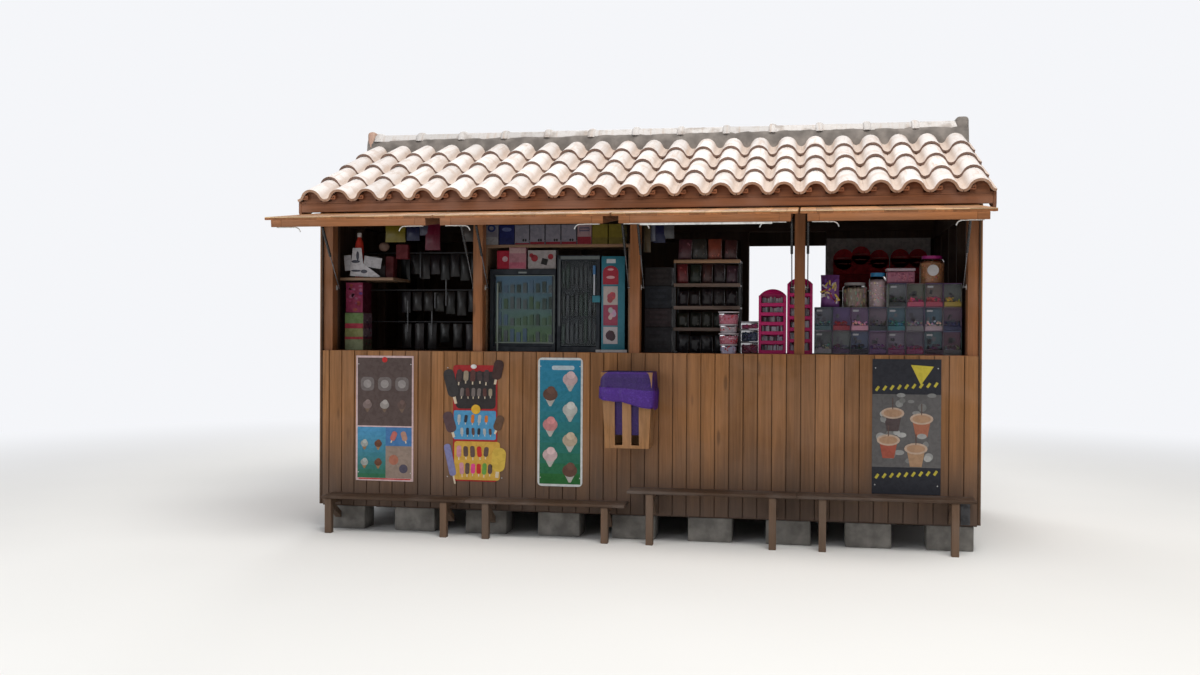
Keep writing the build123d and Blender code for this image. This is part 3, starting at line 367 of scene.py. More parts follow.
def timber(
    name, stain, along, weather_and_shade=0.0, spread=0.35, fade=0.25, grey=DRIFTWOOD, roughness=0.55, splash=0.55
):
    """Stained softwood whose grain runs along one axis, with a tone for each board from its tint."""
    recipe, shader, place, tint = start_material(name, roughness, Specular_IOR_Level=0.25)
    stretch = [1.1 if axis == along else 34.0 for axis in "XYZ"]
    grain = effect(recipe, "Timber Grain", Vector=place, Stretch=stretch, Tone=tint["Fac"])
    age = effect(recipe, "Timber Weather", Vector=place, Splash_Top=splash)
    base = (*stain, 1)
    board = recipe.shade(base, recipe.band(tint["Fac"], 0.0, 1.0, 1.0 - spread, 1.0 + spread))
    streaked = recipe.shade(board, recipe.band(grain["Streak"], 0.3, 0.7, 0.8, 1.16))
    fine = recipe.shade(streaked, recipe.band(grain["Pore"], 0.3, 0.7, 0.92, 1.08))
    knotted = recipe.mix(recipe.math("MULTIPLY", grain["Knot"], 0.7), fine, recipe.shade(base, 0.4))
    faded = recipe.cover(age["Fade"], fade, knotted, [0.09 + 1.05 * c for c in stain])
    # Near the ground the timber takes a low tint: weathering, and painted shade where that tint is dark, as
    # on the wall boards.
    final = recipe.cover(age["Splash"], weather_and_shade, faded, grey)
    rough = recipe.band(grain["Streak"], 0.2, 0.8, roughness + 0.15, roughness - 0.08)
    recipe.feed(shader, {"Base Color": final, "Roughness": rough})
    height = recipe.math("ADD", grain["Streak"], recipe.math("MULTIPLY", grain["Pore"], 0.5))
    recipe.bump(shader, height, 0.0012)


def clay(name, body, streak, patch_tint, patch=0.5, patch_scale=7.0, hollow=None, streaks=0.75):
    """Fired clay with streaks and patches, toned tile by tile, with painted shade in the hollows where asked.
    """
    recipe, shader, place, tint = start_material(name, 0.78, Specular_IOR_Level=0.3)
    channels = recipe.add("ShaderNodeSeparateColor", {0: tint["Color"]}).outputs
    skin = effect(recipe, "Clay Surface", Vector=place, Tone=channels[0], Patch_Scale=patch_scale)
    toned = recipe.shade((*body, 1), recipe.band(channels[0], 0.0, 1.0, 0.88, 1.06))
    # The hollow tint is painted shade, laid by the height stored in the tint's green channel.
    if hollow:
        wander = recipe.math("ADD", channels[1], recipe.math("MULTIPLY", skin["Streak"], 0.3))
        toned = recipe.mix(recipe.band(wander, 0.22, 0.74, 1.0, 0.0), toned, (*hollow, 1))
    streaked = recipe.mix(recipe.band(skin["Streak"], 0.5, 0.8, 0.0, streaks), toned, (*streak, 1))
    patched = recipe.mix(recipe.band(skin["Patch"], 0.5, 0.66, 0.0, patch), streaked, (*patch_tint, 1))
    recipe.feed(shader, {"Base Color": recipe.cover(skin["Pit"], 0.6, patched, scaled(streak, 0.5))})
    recipe.bump(shader, skin["Height"], 0.0015)


def rough_cement(name, body, grit):
    """Cement or concrete with grit, stains and hollows."""
    recipe, shader, place, _ = start_material(name, 0.9, Specular_IOR_Level=0.2)
    skin = effect(recipe, "Clay Surface", Vector=place, Tone=0.3, Patch_Scale=11.0)
    shaded = recipe.shade((*body, 1), recipe.band(skin["Patch"], 0.3, 0.72, 0.7, 1.25))
    marks = effect(recipe, "Handling Marks", Vector=place, Scale=9.0)
    recipe.feed(shader, {"Base Color": recipe.cover(marks["Smudge"], 0.35, shaded, scaled(body, 0.6))})
    recipe.bump(shader, recipe.math("ADD", skin["Height"], skin["Patch"]), grit)


def handled(name, body, roughness, scale, tones, specks, gloss, strength, **constants):
    """A smooth skin, dulled where it is smudged and specked; without a body its tint colours it."""
    recipe, shader, place, tint = start_material(name, roughness, **constants)
    marks = effect(recipe, "Handling Marks", Vector=place, Scale=scale)
    base = (*body, 1) if body else tint["Color"]
    shaded = recipe.shade(base, recipe.band(marks["Smudge"], 0.0, 1.0, *tones))
    rough = recipe.band(marks["Smudge"], 0.0, 1.0, roughness - gloss[0], roughness + gloss[1])
    specked = recipe.cover(marks["Speck"], specks[0], shaded, specks[1])
    recipe.feed(shader, {"Base Color": specked, "Roughness": rough})
    recipe.bump(shader, marks["Height"], 0.0004, strength)


def painted_metal(name, body, roughness, rust, **constants):
    """Painted or zinc-coated metal with smudges and a few rust specks."""
    rusty = (rust, (0.22, 0.09, 0.035))
    handled(name, body, roughness, 26.0, (1.06, 0.8), rusty, (0.08, 0.16), 0.4, **constants)


def printed(name, roughness, dulling, dim, **constants):
    """Printed board or wrapper with scuffs and a slight fading; dim darkens the whole print as painted shade.
    """
    tones, scuffs = (1.04 * dim, (1.04 - dulling) * dim), (0.05, (0.6, 0.58, 0.54))
    handled(name, None, roughness, 30.0, tones, scuffs, (0.06, 0.14), 0.35, **constants)


def clear_shell(name, body, roughness=0.08):
    """Clear plastic or glass, faintly smudged."""
    recipe, shader, place, _ = start_material(name, roughness, Transmission_Weight=1.0, IOR=1.14)
    smudge = effect(recipe, "Handling Marks", Vector=place, Scale=18.0)["Smudge"]
    skin = recipe.cover(smudge, 0.25, (*body, 1), (0.7, 0.72, 0.72))
    rough = recipe.band(smudge, 0.0, 1.0, roughness, roughness + 0.12)
    recipe.feed(shader, {"Base Color": skin, "Roughness": rough})


def bag_film(name, body):
    """Thin crinkled film with painted highlights on its crinkles, and painted light and shade by the tint's
    tone.
    """
    gloss = {"Specular_IOR_Level": 0.3, "Coat_Weight": 0.08, "Coat_Roughness": 0.2}
    recipe, shader, place, tint = start_material(name, 0.38, **gloss)
    marks = effect(recipe, "Handling Marks", Vector=place, Scale=14.0)
    crinkle = recipe.noise(place, 60.0, 4.0, 1.5)
    # pale and lit: painted highlights on the crinkles; the tint's tone then paints each ring's light and
    # shade.
    pale = [min(1, 1.5 * c + 0.01) for c in body]
    lit = recipe.mix(recipe.band(crinkle, 0.45, 0.8), (*body, 1), (*pale, 1))
    recipe.feed(shader, {"Base Color": recipe.shade(lit, recipe.band(tint["Fac"], 0.0, 1.0, 0.6, 1.9))})
    height = recipe.math("ADD", crinkle, recipe.math("MULTIPLY", marks["Smudge"], 0.4))
    recipe.bump(shader, height, 0.006, 0.7)


def build_materials(colours):
    """All finishes of the kiosk, by name."""
    post, bench, inside = colours.post, colours.bench, colours.inside
    # The wall boards darken strongly towards the bottom: weathering and painted shade.
    timber("wall_boards", colours.wall, "Z", 0.85, 0.2, grey=(0.07, 0.052, 0.043), splash=0.95)
    # The tongues in the grooves are the wall timber darkened as painted shade.
    timber("groove_timber", scaled(colours.wall, 0.2), "Z", spread=0.1)
    timber("board_ends", scaled(post, 1.1), "Y", spread=0.25, fade=0.1)
    timber("worn_edges", (0.52, 0.37, 0.21), "X", spread=0.3, fade=0.1)
    timber("posts", post, "Z", spread=0.2)
    timber("rails", post, "X", spread=0.2)
    timber("flap_boards", colours.flap, "Y", spread=0.32, fade=0.4)
    timber("flap_rails", post, "X", spread=0.22)
    # The flaps' side rails are the post stain darkened as painted shade.
    timber("flap_side_rails", scaled(post, 0.62), "Y", spread=0.22)
    timber("fascia", colours.fascia, "X", spread=0.15, fade=0.35)
    timber("barge", colours.fascia, "Y", spread=0.15, fade=0.35)
    timber("deck", scaled(colours.fascia, 0.8), "Y", spread=0.3)
    timber("inside_timber", inside, "Z", spread=0.25)
    timber("inside_rails", inside, "X", spread=0.25)
    timber("floor_timber", scaled(inside, 1.2), "X", spread=0.25)
    timber("bench_boards", bench, "X", spread=0.25, roughness=0.6, fade=0.5)
    timber("bench_legs", scaled(bench, 1.7), "Z", 0.3, 0.25, grey=(0.14, 0.1, 0.07))
    timber("bin_slats", colours.bin, "Z", spread=0.2, fade=0.3)
    timber("beads", scaled(post, 1.25), "Z", spread=0.2)
    timber("rack_boards", (0.17, 0.098, 0.055), "X")
    timber("dull_rack_boards", (0.085, 0.055, 0.042), "X")
    streak = colours.clay_streak
    clay("tile_clay", colours.clay, streak, streak, 0.42, 9.0, colours.clay_hollow_shade, 0.7)
    # The tiles' downhill edges: the eave edges are the clay's tan-orange body with painted shade, the upper
    # course edges are painted shade and the shadow beneath them.
    clay("eave_edge_clay", (0.43, 0.27, 0.185), streak, (0.24, 0.13, 0.08), 0.4)
    clay("course_edge_clay", (0.205, 0.13, 0.1), (0.15, 0.09, 0.07), (0.1, 0.06, 0.05))
    clay("hook_clay", (0.34, 0.14, 0.07), (0.25, 0.09, 0.05), (0.15, 0.06, 0.03))
    clay("ridge_clay", (0.56, 0.54, 0.53), (0.46, 0.36, 0.29), (0.25, 0.2, 0.165), 0.55, 9.0)
    clay("end_clay", (0.42, 0.27, 0.21), streak, (0.18, 0.13, 0.1), 0.6, 12.0)
    rough_cement("mortar", colours.mortar, 0.006)
    rough_cement("footing", colours.concrete, 0.005)
    painted_metal("white_iron", colours.zinc, 0.45, 0.35)
    painted_metal("black_lacquer", (0.012, 0.012, 0.013), 0.3, 0.1)
    painted_metal("steel_rod", (0.16, 0.16, 0.17), 0.25, 0.05, Metallic=1.0)
    painted_metal("steel_plate", (0.06, 0.061, 0.066), 0.55, 0.6, Metallic=0.4)
    painted_metal("cabinet_paint", (0.014, 0.018, 0.024), 0.5, 0.05, Specular_IOR_Level=0.2)
    painted_metal("pale_panel", (0.5, 0.44, 0.42), 0.6, 0.1)
    # The dim of each print darkens it as painted shade: the goods in the hut and the posters on the front
    # wall.
    printed("poster_print", 0.5, 0.15, 0.92, Specular_IOR_Level=0.25)
    printed("carton_print", 0.55, 0.2, 0.72, Specular_IOR_Level=0.2)
    printed("wrapper_print", 0.34, 0.15, 0.7, Specular_IOR_Level=0.25, Coat_Weight=0.06)
    printed("moulded_plastic", 0.36, 0.1, 0.85, Specular_IOR_Level=0.3)
    clear_shell("clear_plastic", (0.96, 0.94, 0.97))
    clear_shell("cabinet_glass", (0.9, 0.94, 0.96), 0.03)
    bag_film("bag_film", colours.film)


# ---------------------------------------------------------------- mesh helpers


def start_mesh():
    """An empty bmesh whose corners carry a tint."""
    bm = bmesh.new()
    bm.loops.layers.float_color.new("tint")
    return bm


def paint(bm, faces, tint, slot=0):
    """Gives faces a tint, a tone or a colour, and a material slot."""
    layer = bm.loops.layers.float_color["tint"]
    value = (tint, tint, tint, 1.0) if isinstance(tint, float) else (*tint, 1.0)
    for face in faces:
        face.material_index = slot
        for loop in face.loops:
            loop[layer] = value


def faces_of(verts):
    """Every face that touches the vertices."""
    return {f for v in verts for f in v.link_faces}


def verts_in(geometry):
    """The vertices among what an operation made."""
    return [item for item in geometry if isinstance(item, bmesh.types.BMVert)]


def join_part(bm, part):
    """Adds a part that was shaped in a bmesh of its own."""
    mesh = bpy.data.meshes.new("part")
    part.to_mesh(mesh)
    part.free()
    bm.from_mesh(mesh)
    bpy.data.meshes.remove(mesh)


def bevel(bm, edges, offset, segments):
    """Rounds edges and returns what that made."""
    form = {"offset_type": "OFFSET", "profile": 0.5, "affect": "EDGES", "material": -1, "clamp_overlap": True}
    return bmesh.ops.bevel(bm, geom=edges, offset=offset, segments=segments, **form)


def add_block(bm, low, high, tint=0.5, chamfer=0.002, segments=1, matrix=None, slot=0, sides=None):
    """Adds a block between two corners, with its edges bevelled, and returns its vertices.

    sides limits the bevel to the edges along one axis.
    """
    low, high = Vector(low), Vector(high)
    place = Matrix.Translation((low + high) / 2) @ Matrix.Diagonal((*(high - low), 1.0))
    verts = bmesh.ops.create_cube(bm, size=1.0, matrix=place)["verts"]
    faces = faces_of(verts)
    if chamfer:
        edges = list({e for v in verts for e in v.link_edges})
        if sides is not None:
            edges = [e for e in edges if abs((e.verts[0].co - e.verts[1].co).normalized()[sides]) > 0.9]
        thinnest = min(side for axis, side in enumerate(high - low) if axis != sides)
        made = bevel(bm, edges, min(chamfer, 0.45 * thinnest), segments)
        verts = [v for v in verts if v.is_valid] + made["verts"]
        faces = faces_of(verts) | set(made["faces"]) | {f for f in faces if f.is_valid}
    verts = list({v for f in faces for v in f.verts})
    if matrix is not None:
        bmesh.ops.transform(bm, matrix=matrix, verts=verts)
    paint(bm, faces, tint, slot)
    return verts


def add_rod(bm, start, end, radius, tint=0.5, sides=10, slot=0):
    """Adds a capped rod between two points."""
    start, end = Vector(start), Vector(end)
    axis = end - start
    turn = axis.to_track_quat("Z", "Y").to_matrix().to_4x4()
    form = {"cap_ends": True, "segments": sides, "radius1": radius, "radius2": radius, "depth": axis.length}
    verts = bmesh.ops.create_cone(bm, matrix=Matrix.Translation((start + end) / 2) @ turn, **form)["verts"]
    paint(bm, faces_of(verts), tint, slot)
    return verts


def add_disc(bm, centre, radius, thickness, tint, stretch=1.0, sides=20):
    """Adds a flat round patch that faces the customer."""
    verts = add_rod(bm, (0, -thickness / 2, 0), (0, thickness / 2, 0), radius, tint, sides)
    place = Matrix.Translation(centre) @ Matrix.Diagonal((1, 1, stretch, 1))
    bmesh.ops.transform(bm, matrix=place, verts=verts)


def add_ball(bm, centre, size, tint, segments=6, rings=4):
    """Adds an egg-shaped ball of a size along each axis."""
    size = Vector(size) if hasattr(size, "__len__") else Vector((size, size, size))
    matrix = Matrix.Translation(centre) @ Matrix.Diagonal((*size, 1.0))
    made = bmesh.ops.create_uvsphere(bm, u_segments=segments, v_segments=rings, radius=0.5, matrix=matrix)
    paint(bm, faces_of(made["verts"]), tint)


def add_pouch(bm, low, high, tint, matrix=None):
    """Adds a filled wrapper: a pillow with flat crimped ends at top and bottom."""
    low, high = Vector(low), Vector(high)
    half, middle = (high - low) / 2, (high + low) / 2
    part = start_mesh()
    bmesh.ops.create_cube(part, size=2.0)
    bmesh.ops.subdivide_edges(part, edges=part.edges[:], cuts=3, use_grid_fill=True)
    for vert in part.verts:
        a, b, c = vert.co
        swell = (1 - a**4 * 0.75) * (1 - c**4 * 0.92)
        vert.co = middle + Vector((a * half.x * (1 - 0.05 * (1 - c * c)), b * half.y * swell, c * half.z))
    if matrix is not None:
        bmesh.ops.transform(part, matrix=matrix, verts=part.verts)
    paint(part, part.faces, tint)
    join_part(bm, part)


def add_jar(bm, centre, radius, height, profile, tint, steps=20):
    """Adds a turned shape: profile pairs of radius share and height share, spun round the upright axis."""
    x, y, z = centre
    part = start_mesh()
    verts = [part.verts.new((x + radius * share, y, z + height * rise)) for share, rise in profile]
    edges = [part.edges.new(pair) for pair in zip(verts, verts[1:])]
    turn = {"cent": centre, "axis": (0, 0, 1), "angle": 2 * pi, "steps": steps, "use_merge": True}
    bmesh.ops.spin(part, geom=verts + edges, **turn)
    bmesh.ops.remove_doubles(part, verts=part.verts, dist=1e-5)
    paint(part, part.faces, tint)
    join_part(bm, part)


def add_prism(bm, outline, depth, tint=0.5, matrix=None):
    """Adds an outline that is drawn out by a depth."""
    part = start_mesh()
    face = part.faces.new([part.verts.new(point) for point in outline])
    swept = bmesh.ops.extrude_face_region(part, geom=[face])["geom"]
    bmesh.ops.translate(part, verts=verts_in(swept), vec=depth)
    if matrix is not None:
        bmesh.ops.transform(part, matrix=matrix, verts=part.verts)
    paint(part, part.faces, tint)
    join_part(bm, part)


def make_shell(bm, thickness):
    """Turns an open sheet's faces upwards and gives the sheet a thickness."""
    bmesh.ops.recalc_face_normals(bm, faces=bm.faces)
    if sum(f.normal.z for f in bm.faces) < 0:
        bmesh.ops.reverse_faces(bm, faces=bm.faces)
    bmesh.ops.solidify(bm, geom=bm.faces[:], thickness=thickness)


def refined_copy(node, chamfer, segments=1, tint=0.5):
    """A merged copy of a frame node with joined flats and rounded edges."""
    bm = bmesh.new()
    bm.from_mesh(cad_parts[node].data)
    for layers in (bm.loops.layers.uv, bm.loops.layers.float_color):
        for layer in list(layers.values()):
            layers.remove(layer)
    bm.loops.layers.float_color.new("tint")
    bmesh.ops.remove_doubles(bm, verts=bm.verts, dist=2e-5)
    bmesh.ops.dissolve_limit(bm, angle_limit=radians(2), verts=bm.verts, edges=bm.edges, delimit=set())
    if chamfer:
        edges = [e for e in bm.edges if e.is_manifold and e.calc_face_angle(0.0) > radians(30)]
        bevel(bm, edges, chamfer, segments)
    paint(bm, bm.faces, tint)
    return bm


def tone_islands(bm, seed):
    """Gives each separate solid of a mesh a tone of its own."""
    draw = random.Random(seed)
    left = set(bm.verts)
    while left:
        island, queue = set(), [min(left, key=lambda v: [round(place, 4) for place in v.co])]
        while queue:
            vert = queue.pop()
            if vert in island:
                continue
            island.add(vert)
            queue.extend(e.other_vert(vert) for e in vert.link_edges)
        left -= island
        paint(bm, faces_of(island), draw.uniform(0.2, 0.8))


def finish_piece(name, bm, materials, body="kiosk", replaced=(), sharp=32, outward=True):
    """Turns a bmesh into a piece that rides on a body and stands for frame nodes."""
    if outward:
        bmesh.ops.recalc_face_normals(bm, faces=bm.faces)
    mesh = bpy.data.meshes.new(name)
    bm.to_mesh(mesh)
    bm.free()
    for material in materials.split():
        mesh.materials.append(bpy.data.materials[f"kiosk_{material}"])
    mesh.shade_smooth()
    mesh.set_sharp_from_angle(angle=radians(sharp))
    piece = bpy.data.objects.new(name, mesh)
    bpy.context.scene.collection.objects.link(piece)
    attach(piece, body)
    if replaced:
        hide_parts(*replaced)
    return piece


def refine(node, name, material, chamfer, segments=1, seed=None):
    """Finishes a frame node as it stands, each solid toned by itself where a seed is given."""
    bm = refined_copy(node, chamfer, segments)
    if seed is not None:
        tone_islands(bm, seed)
    finish_piece(name, bm, material, replaced=[node])


def dress(node, material):
    """Gives a frame node that stays in view a better material."""
    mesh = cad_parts[node].data
    mesh.materials.clear()
    mesh.materials.append(bpy.data.materials[f"kiosk_{material}"])


def jitter(verts, amount, seed):
    """Moves vertices by a smooth noise, for rough or crumpled surfaces."""
    noise.seed_set(seed)
    shift = Vector((seed * 3.7, seed * 1.3, seed * 2.9))
    for vert in verts:
        vert.co += noise.noise_vector(vert.co * 9.0 + shift) * amount


# ---------------------------------------------------------------- walls and frame


def board_spans(low, high, first, pitch):
    """Left and right edge of each board from one edge of a boarded face to the other."""
    joints = [low]
    place = first
    while place < high - 0.01:
        if place > low + 0.01:
            joints.append(place)
        place += pitch
    return list(zip(joints, [*joints[1:], high]))


class KIOSK_OT_materials(bpy.types.Operator):
    """Makes the finishes that every piece uses"""

    bl_idname = "kiosk.materials"
    bl_label = "Finishes"

    def execute(self, context):
        build_materials(context.scene.kiosk_colours)
        return {"FINISHED"}


class KIOSK_OT_wall_boards(bpy.types.Operator):
    """Boards the four walls with separate upright boards"""

    bl_idname = "kiosk.wall_boards"
    bl_label = "Wall boards"

    def execute(self, context):
        sizes = context.scene.kiosk_sizes
        draw = random.Random(11)
        spans = board_spans(FRONT_LOW.x, FRONT_HIGH.x, sizes.first_joint, sizes.board_pitch)
        self.front_boards(sizes, draw, spans)
        self.side_boards(sizes, draw)
        self.back_boards(sizes, draw, spans)
        return {"FINISHED"}

    def board(self, bm, low, high, facing, tone, sizes):
        """A chamfered upright board over a tongue painted dark as shade, which shows in the groove at each
        side.
        """
        axis, sign = facing
        across = 1 - axis
        faces, tongues = [list(low), list(high)], [list(low), list(high)]
        outside, inside = (1, 0) if sign > 0 else (0, 1)
        step = faces[outside][axis] - sign * BOARD_FACE
        faces[inside][axis] = step
        tongues[outside][axis] = step
        faces[0][across] += sizes.groove / 2
        faces[1][across] -= sizes.groove / 2
        verts = add_block(bm, *faces, tone, sizes.board_chamfer, sides=2)
        return verts + add_block(bm, *tongues, tone, 0, slot=1)

    def finish(self, name, bm, *replaced):
        finish_piece(name, bm, "wall_boards groove_timber", replaced=replaced)

    def front_boards(self, sizes, draw, spans):
        """Boards of the front wall, up to the sill."""
        bm = start_mesh()
        for left, right in spans:
            low = (left, FRONT_FACE + draw.uniform(0, 0.0006), FRONT_LOW.z + draw.uniform(0, 0.003))
            self.board(bm, low, (right, FRONT_HIGH.y, SILL), (1, -1), draw.random(), sizes)
        self.finish("front_boarding", bm, "front_wall_boards")

    def side_boards(self, sizes, draw):
        """Boards of both gable walls, cut to the slope of the roof."""
        bm = start_mesh()
        pitch = 2 * HALF_DEPTH / SIDE_COUNT
        for left, sign in ((WALL_LOW.x, -1), (WALL_HIGH.x - BOARD, 1)):
            for i in range(SIDE_COUNT):
                near = -HALF_DEPTH + i * pitch
                low = (left, near, WALL_LOW.z + draw.uniform(0, 0.003))
                high = (left + BOARD, near + pitch, 3.0)
                for vert in self.board(bm, low, high, (0, sign), draw.random(), sizes):
                    if vert.co.z > 2.0:
                        vert.co.z = roof_height(vert.co.y, UNDER_DECK)
        self.finish("side_boarding", bm, "side_wall_boards")

    def back_boards(self, sizes, draw, boards):
        """Boards of the back wall, round the doorway."""
        bm = start_mesh()
        top = roof_height(HALF_DEPTH, UNDER_DECK)
        for left, right in boards:
            spans = [(left, right, FRONT_LOW.z)]
            if right > DOOR_LOW and left < DOOR_HIGH:
                spans = [(left, DOOR_LOW, FRONT_LOW.z)] if left < DOOR_LOW else []
                spans.append((max(left, DOOR_LOW), min(right, DOOR_HIGH), DOOR_TOP))
                if right > DOOR_HIGH:
                    spans.append((DOOR_HIGH, right, FRONT_LOW.z))
            tone = draw.random()
            for near, far, bottom in spans:
                low, high = (near, HALF_DEPTH - BOARD, bottom), (far, HALF_DEPTH, top)
                if far - near > 0.012:
                    self.board(bm, low, high, (1, 1), tone, sizes)
        self.finish("back_boarding", bm, "back_wall_boards", "back_boards_over_door")


class KIOSK_OT_timber_frame(bpy.types.Operator):
    """Finishes the posts, rails, base, floor and inner frames"""

    bl_idname = "kiosk.timber_frame"
    bl_label = "Timber frame"

    nodes = (
        ("front_posts", "posts", "post_pine", 1),
        ("sill_rails", "rails", "post_pine", 2),
        ("base_frame", "inside_rails", "frame_pine", 3),
        ("side_wall_frames", "inside_timber", "frame_pine", 4),
        ("back_wall_frame", "inside_timber", "frame_pine", 5),
        ("head_beams", "inside_rails", "frame_pine", 6),
        ("header_board", "rails", "post_pine", 7),
        ("roof_beams", "inside_rails", "frame_pine", 8),
        ("roof_decks", "deck", "deck_pine", 9),
        ("counter_top", "floor_timber", "counter_pine", 10),
        ("counter_legs", "inside_timber", "frame_pine", 12),
        ("fascias", "fascia", "fascia_pine", 13),
        ("eave_combs", "fascia", "fascia_pine", 14),
        ("bargeboards", "barge", "fascia_pine", 15),
    )

    def execute(self, context):
        sizes = context.scene.kiosk_sizes
        for node, material, slot, seed in self.nodes:
            chamfer = 0.0 if node == "eave_combs" else sizes.slat_chamfer
            refine(node, f"{node}_timber", material, chamfer, seed=seed)
        self.footings()
        self.floor_boards()
        self.sill_strips(sizes)
        return {"FINISHED"}

    def footings(self):
        """Footing blocks with worn corners."""
        bm = refined_copy("plinth_blocks", 0.008, 2)
        jitter(bm.verts, 0.003, 4)
        for vert in bm.verts:
            vert.co.z = max(vert.co.z, 0.0)
        tone_islands(bm, 21)
        finish_piece("footing_blocks", bm, "footing", replaced=["plinth_blocks"])

    def floor_boards(self):
        """Floor boards that run along the hut."""
        bm = start_mesh()
        draw = random.Random(8)
        low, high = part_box("floor_boards")
        pitch = (high.y - low.y) / FLOOR_COUNT
        for i in range(FLOOR_COUNT):
            near, far = low.y + i * pitch, low.y + (i + 1) * pitch
            add_block(bm, (low.x, near, low.z), (high.x, far, high.z), draw.random(), 0.0015, sides=0)
        finish_piece("floor_planks", bm, "floor_timber", replaced=["floor_boards"])

    def sill_strips(self, sizes):
        """A light strip on the sill of each opening, low enough for the closed flap to clear."""
        bm = start_mesh()
        draw = random.Random(5)
        near, far, top = FRONT_FACE + 0.0004, FRONT_FACE + POST_DEPTH, SILL + sizes.sill_strip
        for centre in BAY_CENTRES:
            low, high = (centre - BAY_OPENING / 2, near, SILL), (centre + BAY_OPENING / 2, far, top)
            add_block(bm, low, high, draw.random(), 0)
        finish_piece("opening_beads", bm, "beads")


# ---------------------------------------------------------------- roof


def tile_mesh(length, thickness):
    """One wave-shaped tile, from its front edge backwards, with its outer valley line at the origin."""
    bm = start_mesh()
    tip = bm.verts.new((0, 0, 0))
    for centre, angle, steps in (
        ((0, 0, HOLLOW_RADIUS), -WAVE_ANGLE, 3),
        ((TILE_PITCH / 2, 0, TILE_RISE - HUMP_RADIUS), 2 * WAVE_ANGLE, 8),
        ((TILE_PITCH, 0, HOLLOW_RADIUS), -WAVE_ANGLE, 3),
    ):
        made = bmesh.ops.spin(bm, geom=[tip], cent=centre, axis=(0, 1, 0), angle=angle, steps=steps)
        tip = verts_in(made["geom_last"])[0]
    swept = bmesh.ops.extrude_edge_only(bm, edges=bm.edges[:])["geom"]
    bmesh.ops.translate(bm, verts=verts_in(swept), vec=(0, length, 0))
    make_shell(bm, thickness)
    bmesh.ops.recalc_face_normals(bm, faces=bm.faces)
    mesh = bpy.data.meshes.new("tile_pattern")
    bm.to_mesh(mesh)
    bm.free()
    return mesh


def slope_matrix(facing):
    """Turns a slope's own axes (along the eave, up the slope, outwards) into the kiosk's axes."""
    run, rise = cos(SLOPE), sin(SLOPE)
    turn = Matrix(((-facing, 0, 0), (0, -facing * run, facing * rise), (0, rise, run)))
    return Matrix.Translation((0, facing * EAVE_REACH, EAVE_HEIGHT)) @ turn.to_4x4()


class KIOSK_OT_tiles(bpy.types.Operator):
    """Lays four courses of wave-shaped clay tiles on each slope"""

    bl_idname = "kiosk.tiles"
    bl_label = "Roof tiles"

    # Section of the curled edge under an eave tile, along the eave and up
    curl = (
        (0.008, 0.004),
        (0.046, 0.002),
        (0.052, 0.006),
        (0.052, 0.026),
        (0.047, 0.03),
        (0.036, 0.029),
        (0.029, 0.022),
        (0.031, 0.014),
        (0.036, 0.016),
        (0.04, 0.022),
        (0.044, 0.021),
        (0.044, 0.011),
        (0.008, 0.013),
    )

    def execute(self, context):
        sizes = context.scene.kiosk_sizes
        for name, facing, node, seed in (
            ("clay_tiles_front", -1, "front_tiles", 31),
            ("clay_tiles_back", 1, "back_tiles", 32),
        ):
            draw = random.Random(seed)
            bm = start_mesh()
            for course in range(sizes.tile_courses):
                self.course(bm, sizes, facing, course, draw)
            finishes = "tile_clay eave_edge_clay course_edge_clay"
            finish_piece(name, bm, finishes, replaced=[node], outward=False, sharp=40)
        self.hooks()
        return {"FINISHED"}

    def course(self, bm, sizes, facing, course, draw):
        """One row of tiles, each a little out of line."""
        start = course * sizes.tile_exposure
        last = course == sizes.tile_courses - 1
        length = ROOF_RUN - start if last else sizes.tile_exposure + sizes.tile_lap
        pattern = tile_mesh(length, sizes.tile_thickness)
        slope, tilt = slope_matrix(facing), Matrix.Rotation(TILE_TILT, 4, "X")
        for column in range(TILE_COUNT):
            along = (column - TILE_COUNT / 2) * TILE_PITCH
            verts, faces = len(bm.verts), len(bm.faces)
            bm.from_mesh(pattern)
            bm.verts.ensure_lookup_table()
            bm.faces.ensure_lookup_table()
            slip = draw.uniform(-0.003, 0.003) if course else draw.uniform(0, 0.002)
            place = Matrix.Translation((along, start + slip, 0.006 + draw.uniform(-0.001, 0.0012)))
            sway = Matrix.Rotation(draw.uniform(-0.004, 0.004), 4, "Z")
            bmesh.ops.transform(bm, matrix=slope @ place @ sway @ tilt, verts=bm.verts[verts:])
            self.colour_tile(bm, bm.faces[faces:], draw.random(), facing, 2 if course else 1)
        bpy.data.meshes.remove(pattern)

    def colour_tile(self, bm, faces, tone, facing, shaded_edge_slot):
        """Stores a tile's tone and, from 0 in the hollow to 1 on the crest, how high each corner lies, which
        places the painted shade of the hollows.
        """
        paint(bm, faces, tone)
        layer = bm.loops.layers.float_color["tint"]
        downhill = Vector((0, facing * cos(SLOPE), -sin(SLOPE)))
        for face in faces:
            # Faces that look down the slope take the edge finish, which is painted shade.
            if face.normal.dot(downhill) > 0.8:
                face.material_index = shaded_edge_slot
            for loop in face.loops:
                _, y, z = loop.vert.co
                share = (z - roof_height(y)) * cos(SLOPE) / (TILE_RISE + 0.02)
                loop[layer] = (tone, min(1.0, max(0.0, share)), tone, 1.0)

    def hooks(self):
        """Curled locking edges of the eave tiles, at the left foot of each hump, with a dark block inside as
        painted shadow.
        """
        bm = start_mesh()
        draw = random.Random(17)
        for facing in (-1, 1):
            matrix = slope_matrix(facing)
            for column in range(TILE_COUNT):
                along = (column - TILE_COUNT / 2) * TILE_PITCH + 0.024
                outline = [(along + x, 0.0035, z) for x, z in self.curl]
                add_prism(bm, outline, (0, 0.045, 0), draw.random(), matrix)
                # A dark block of deck timber behind the curl stands for the shadow inside it: painted shadow.
                low, high = (along + 0.01, 0.012, 0.01), (along + 0.046, 0.04, 0.032)
                add_block(bm, low, high, 0.5, 0, 1, matrix, 1)
        finish_piece("eave_tile_curls", bm, "hook_clay deck")


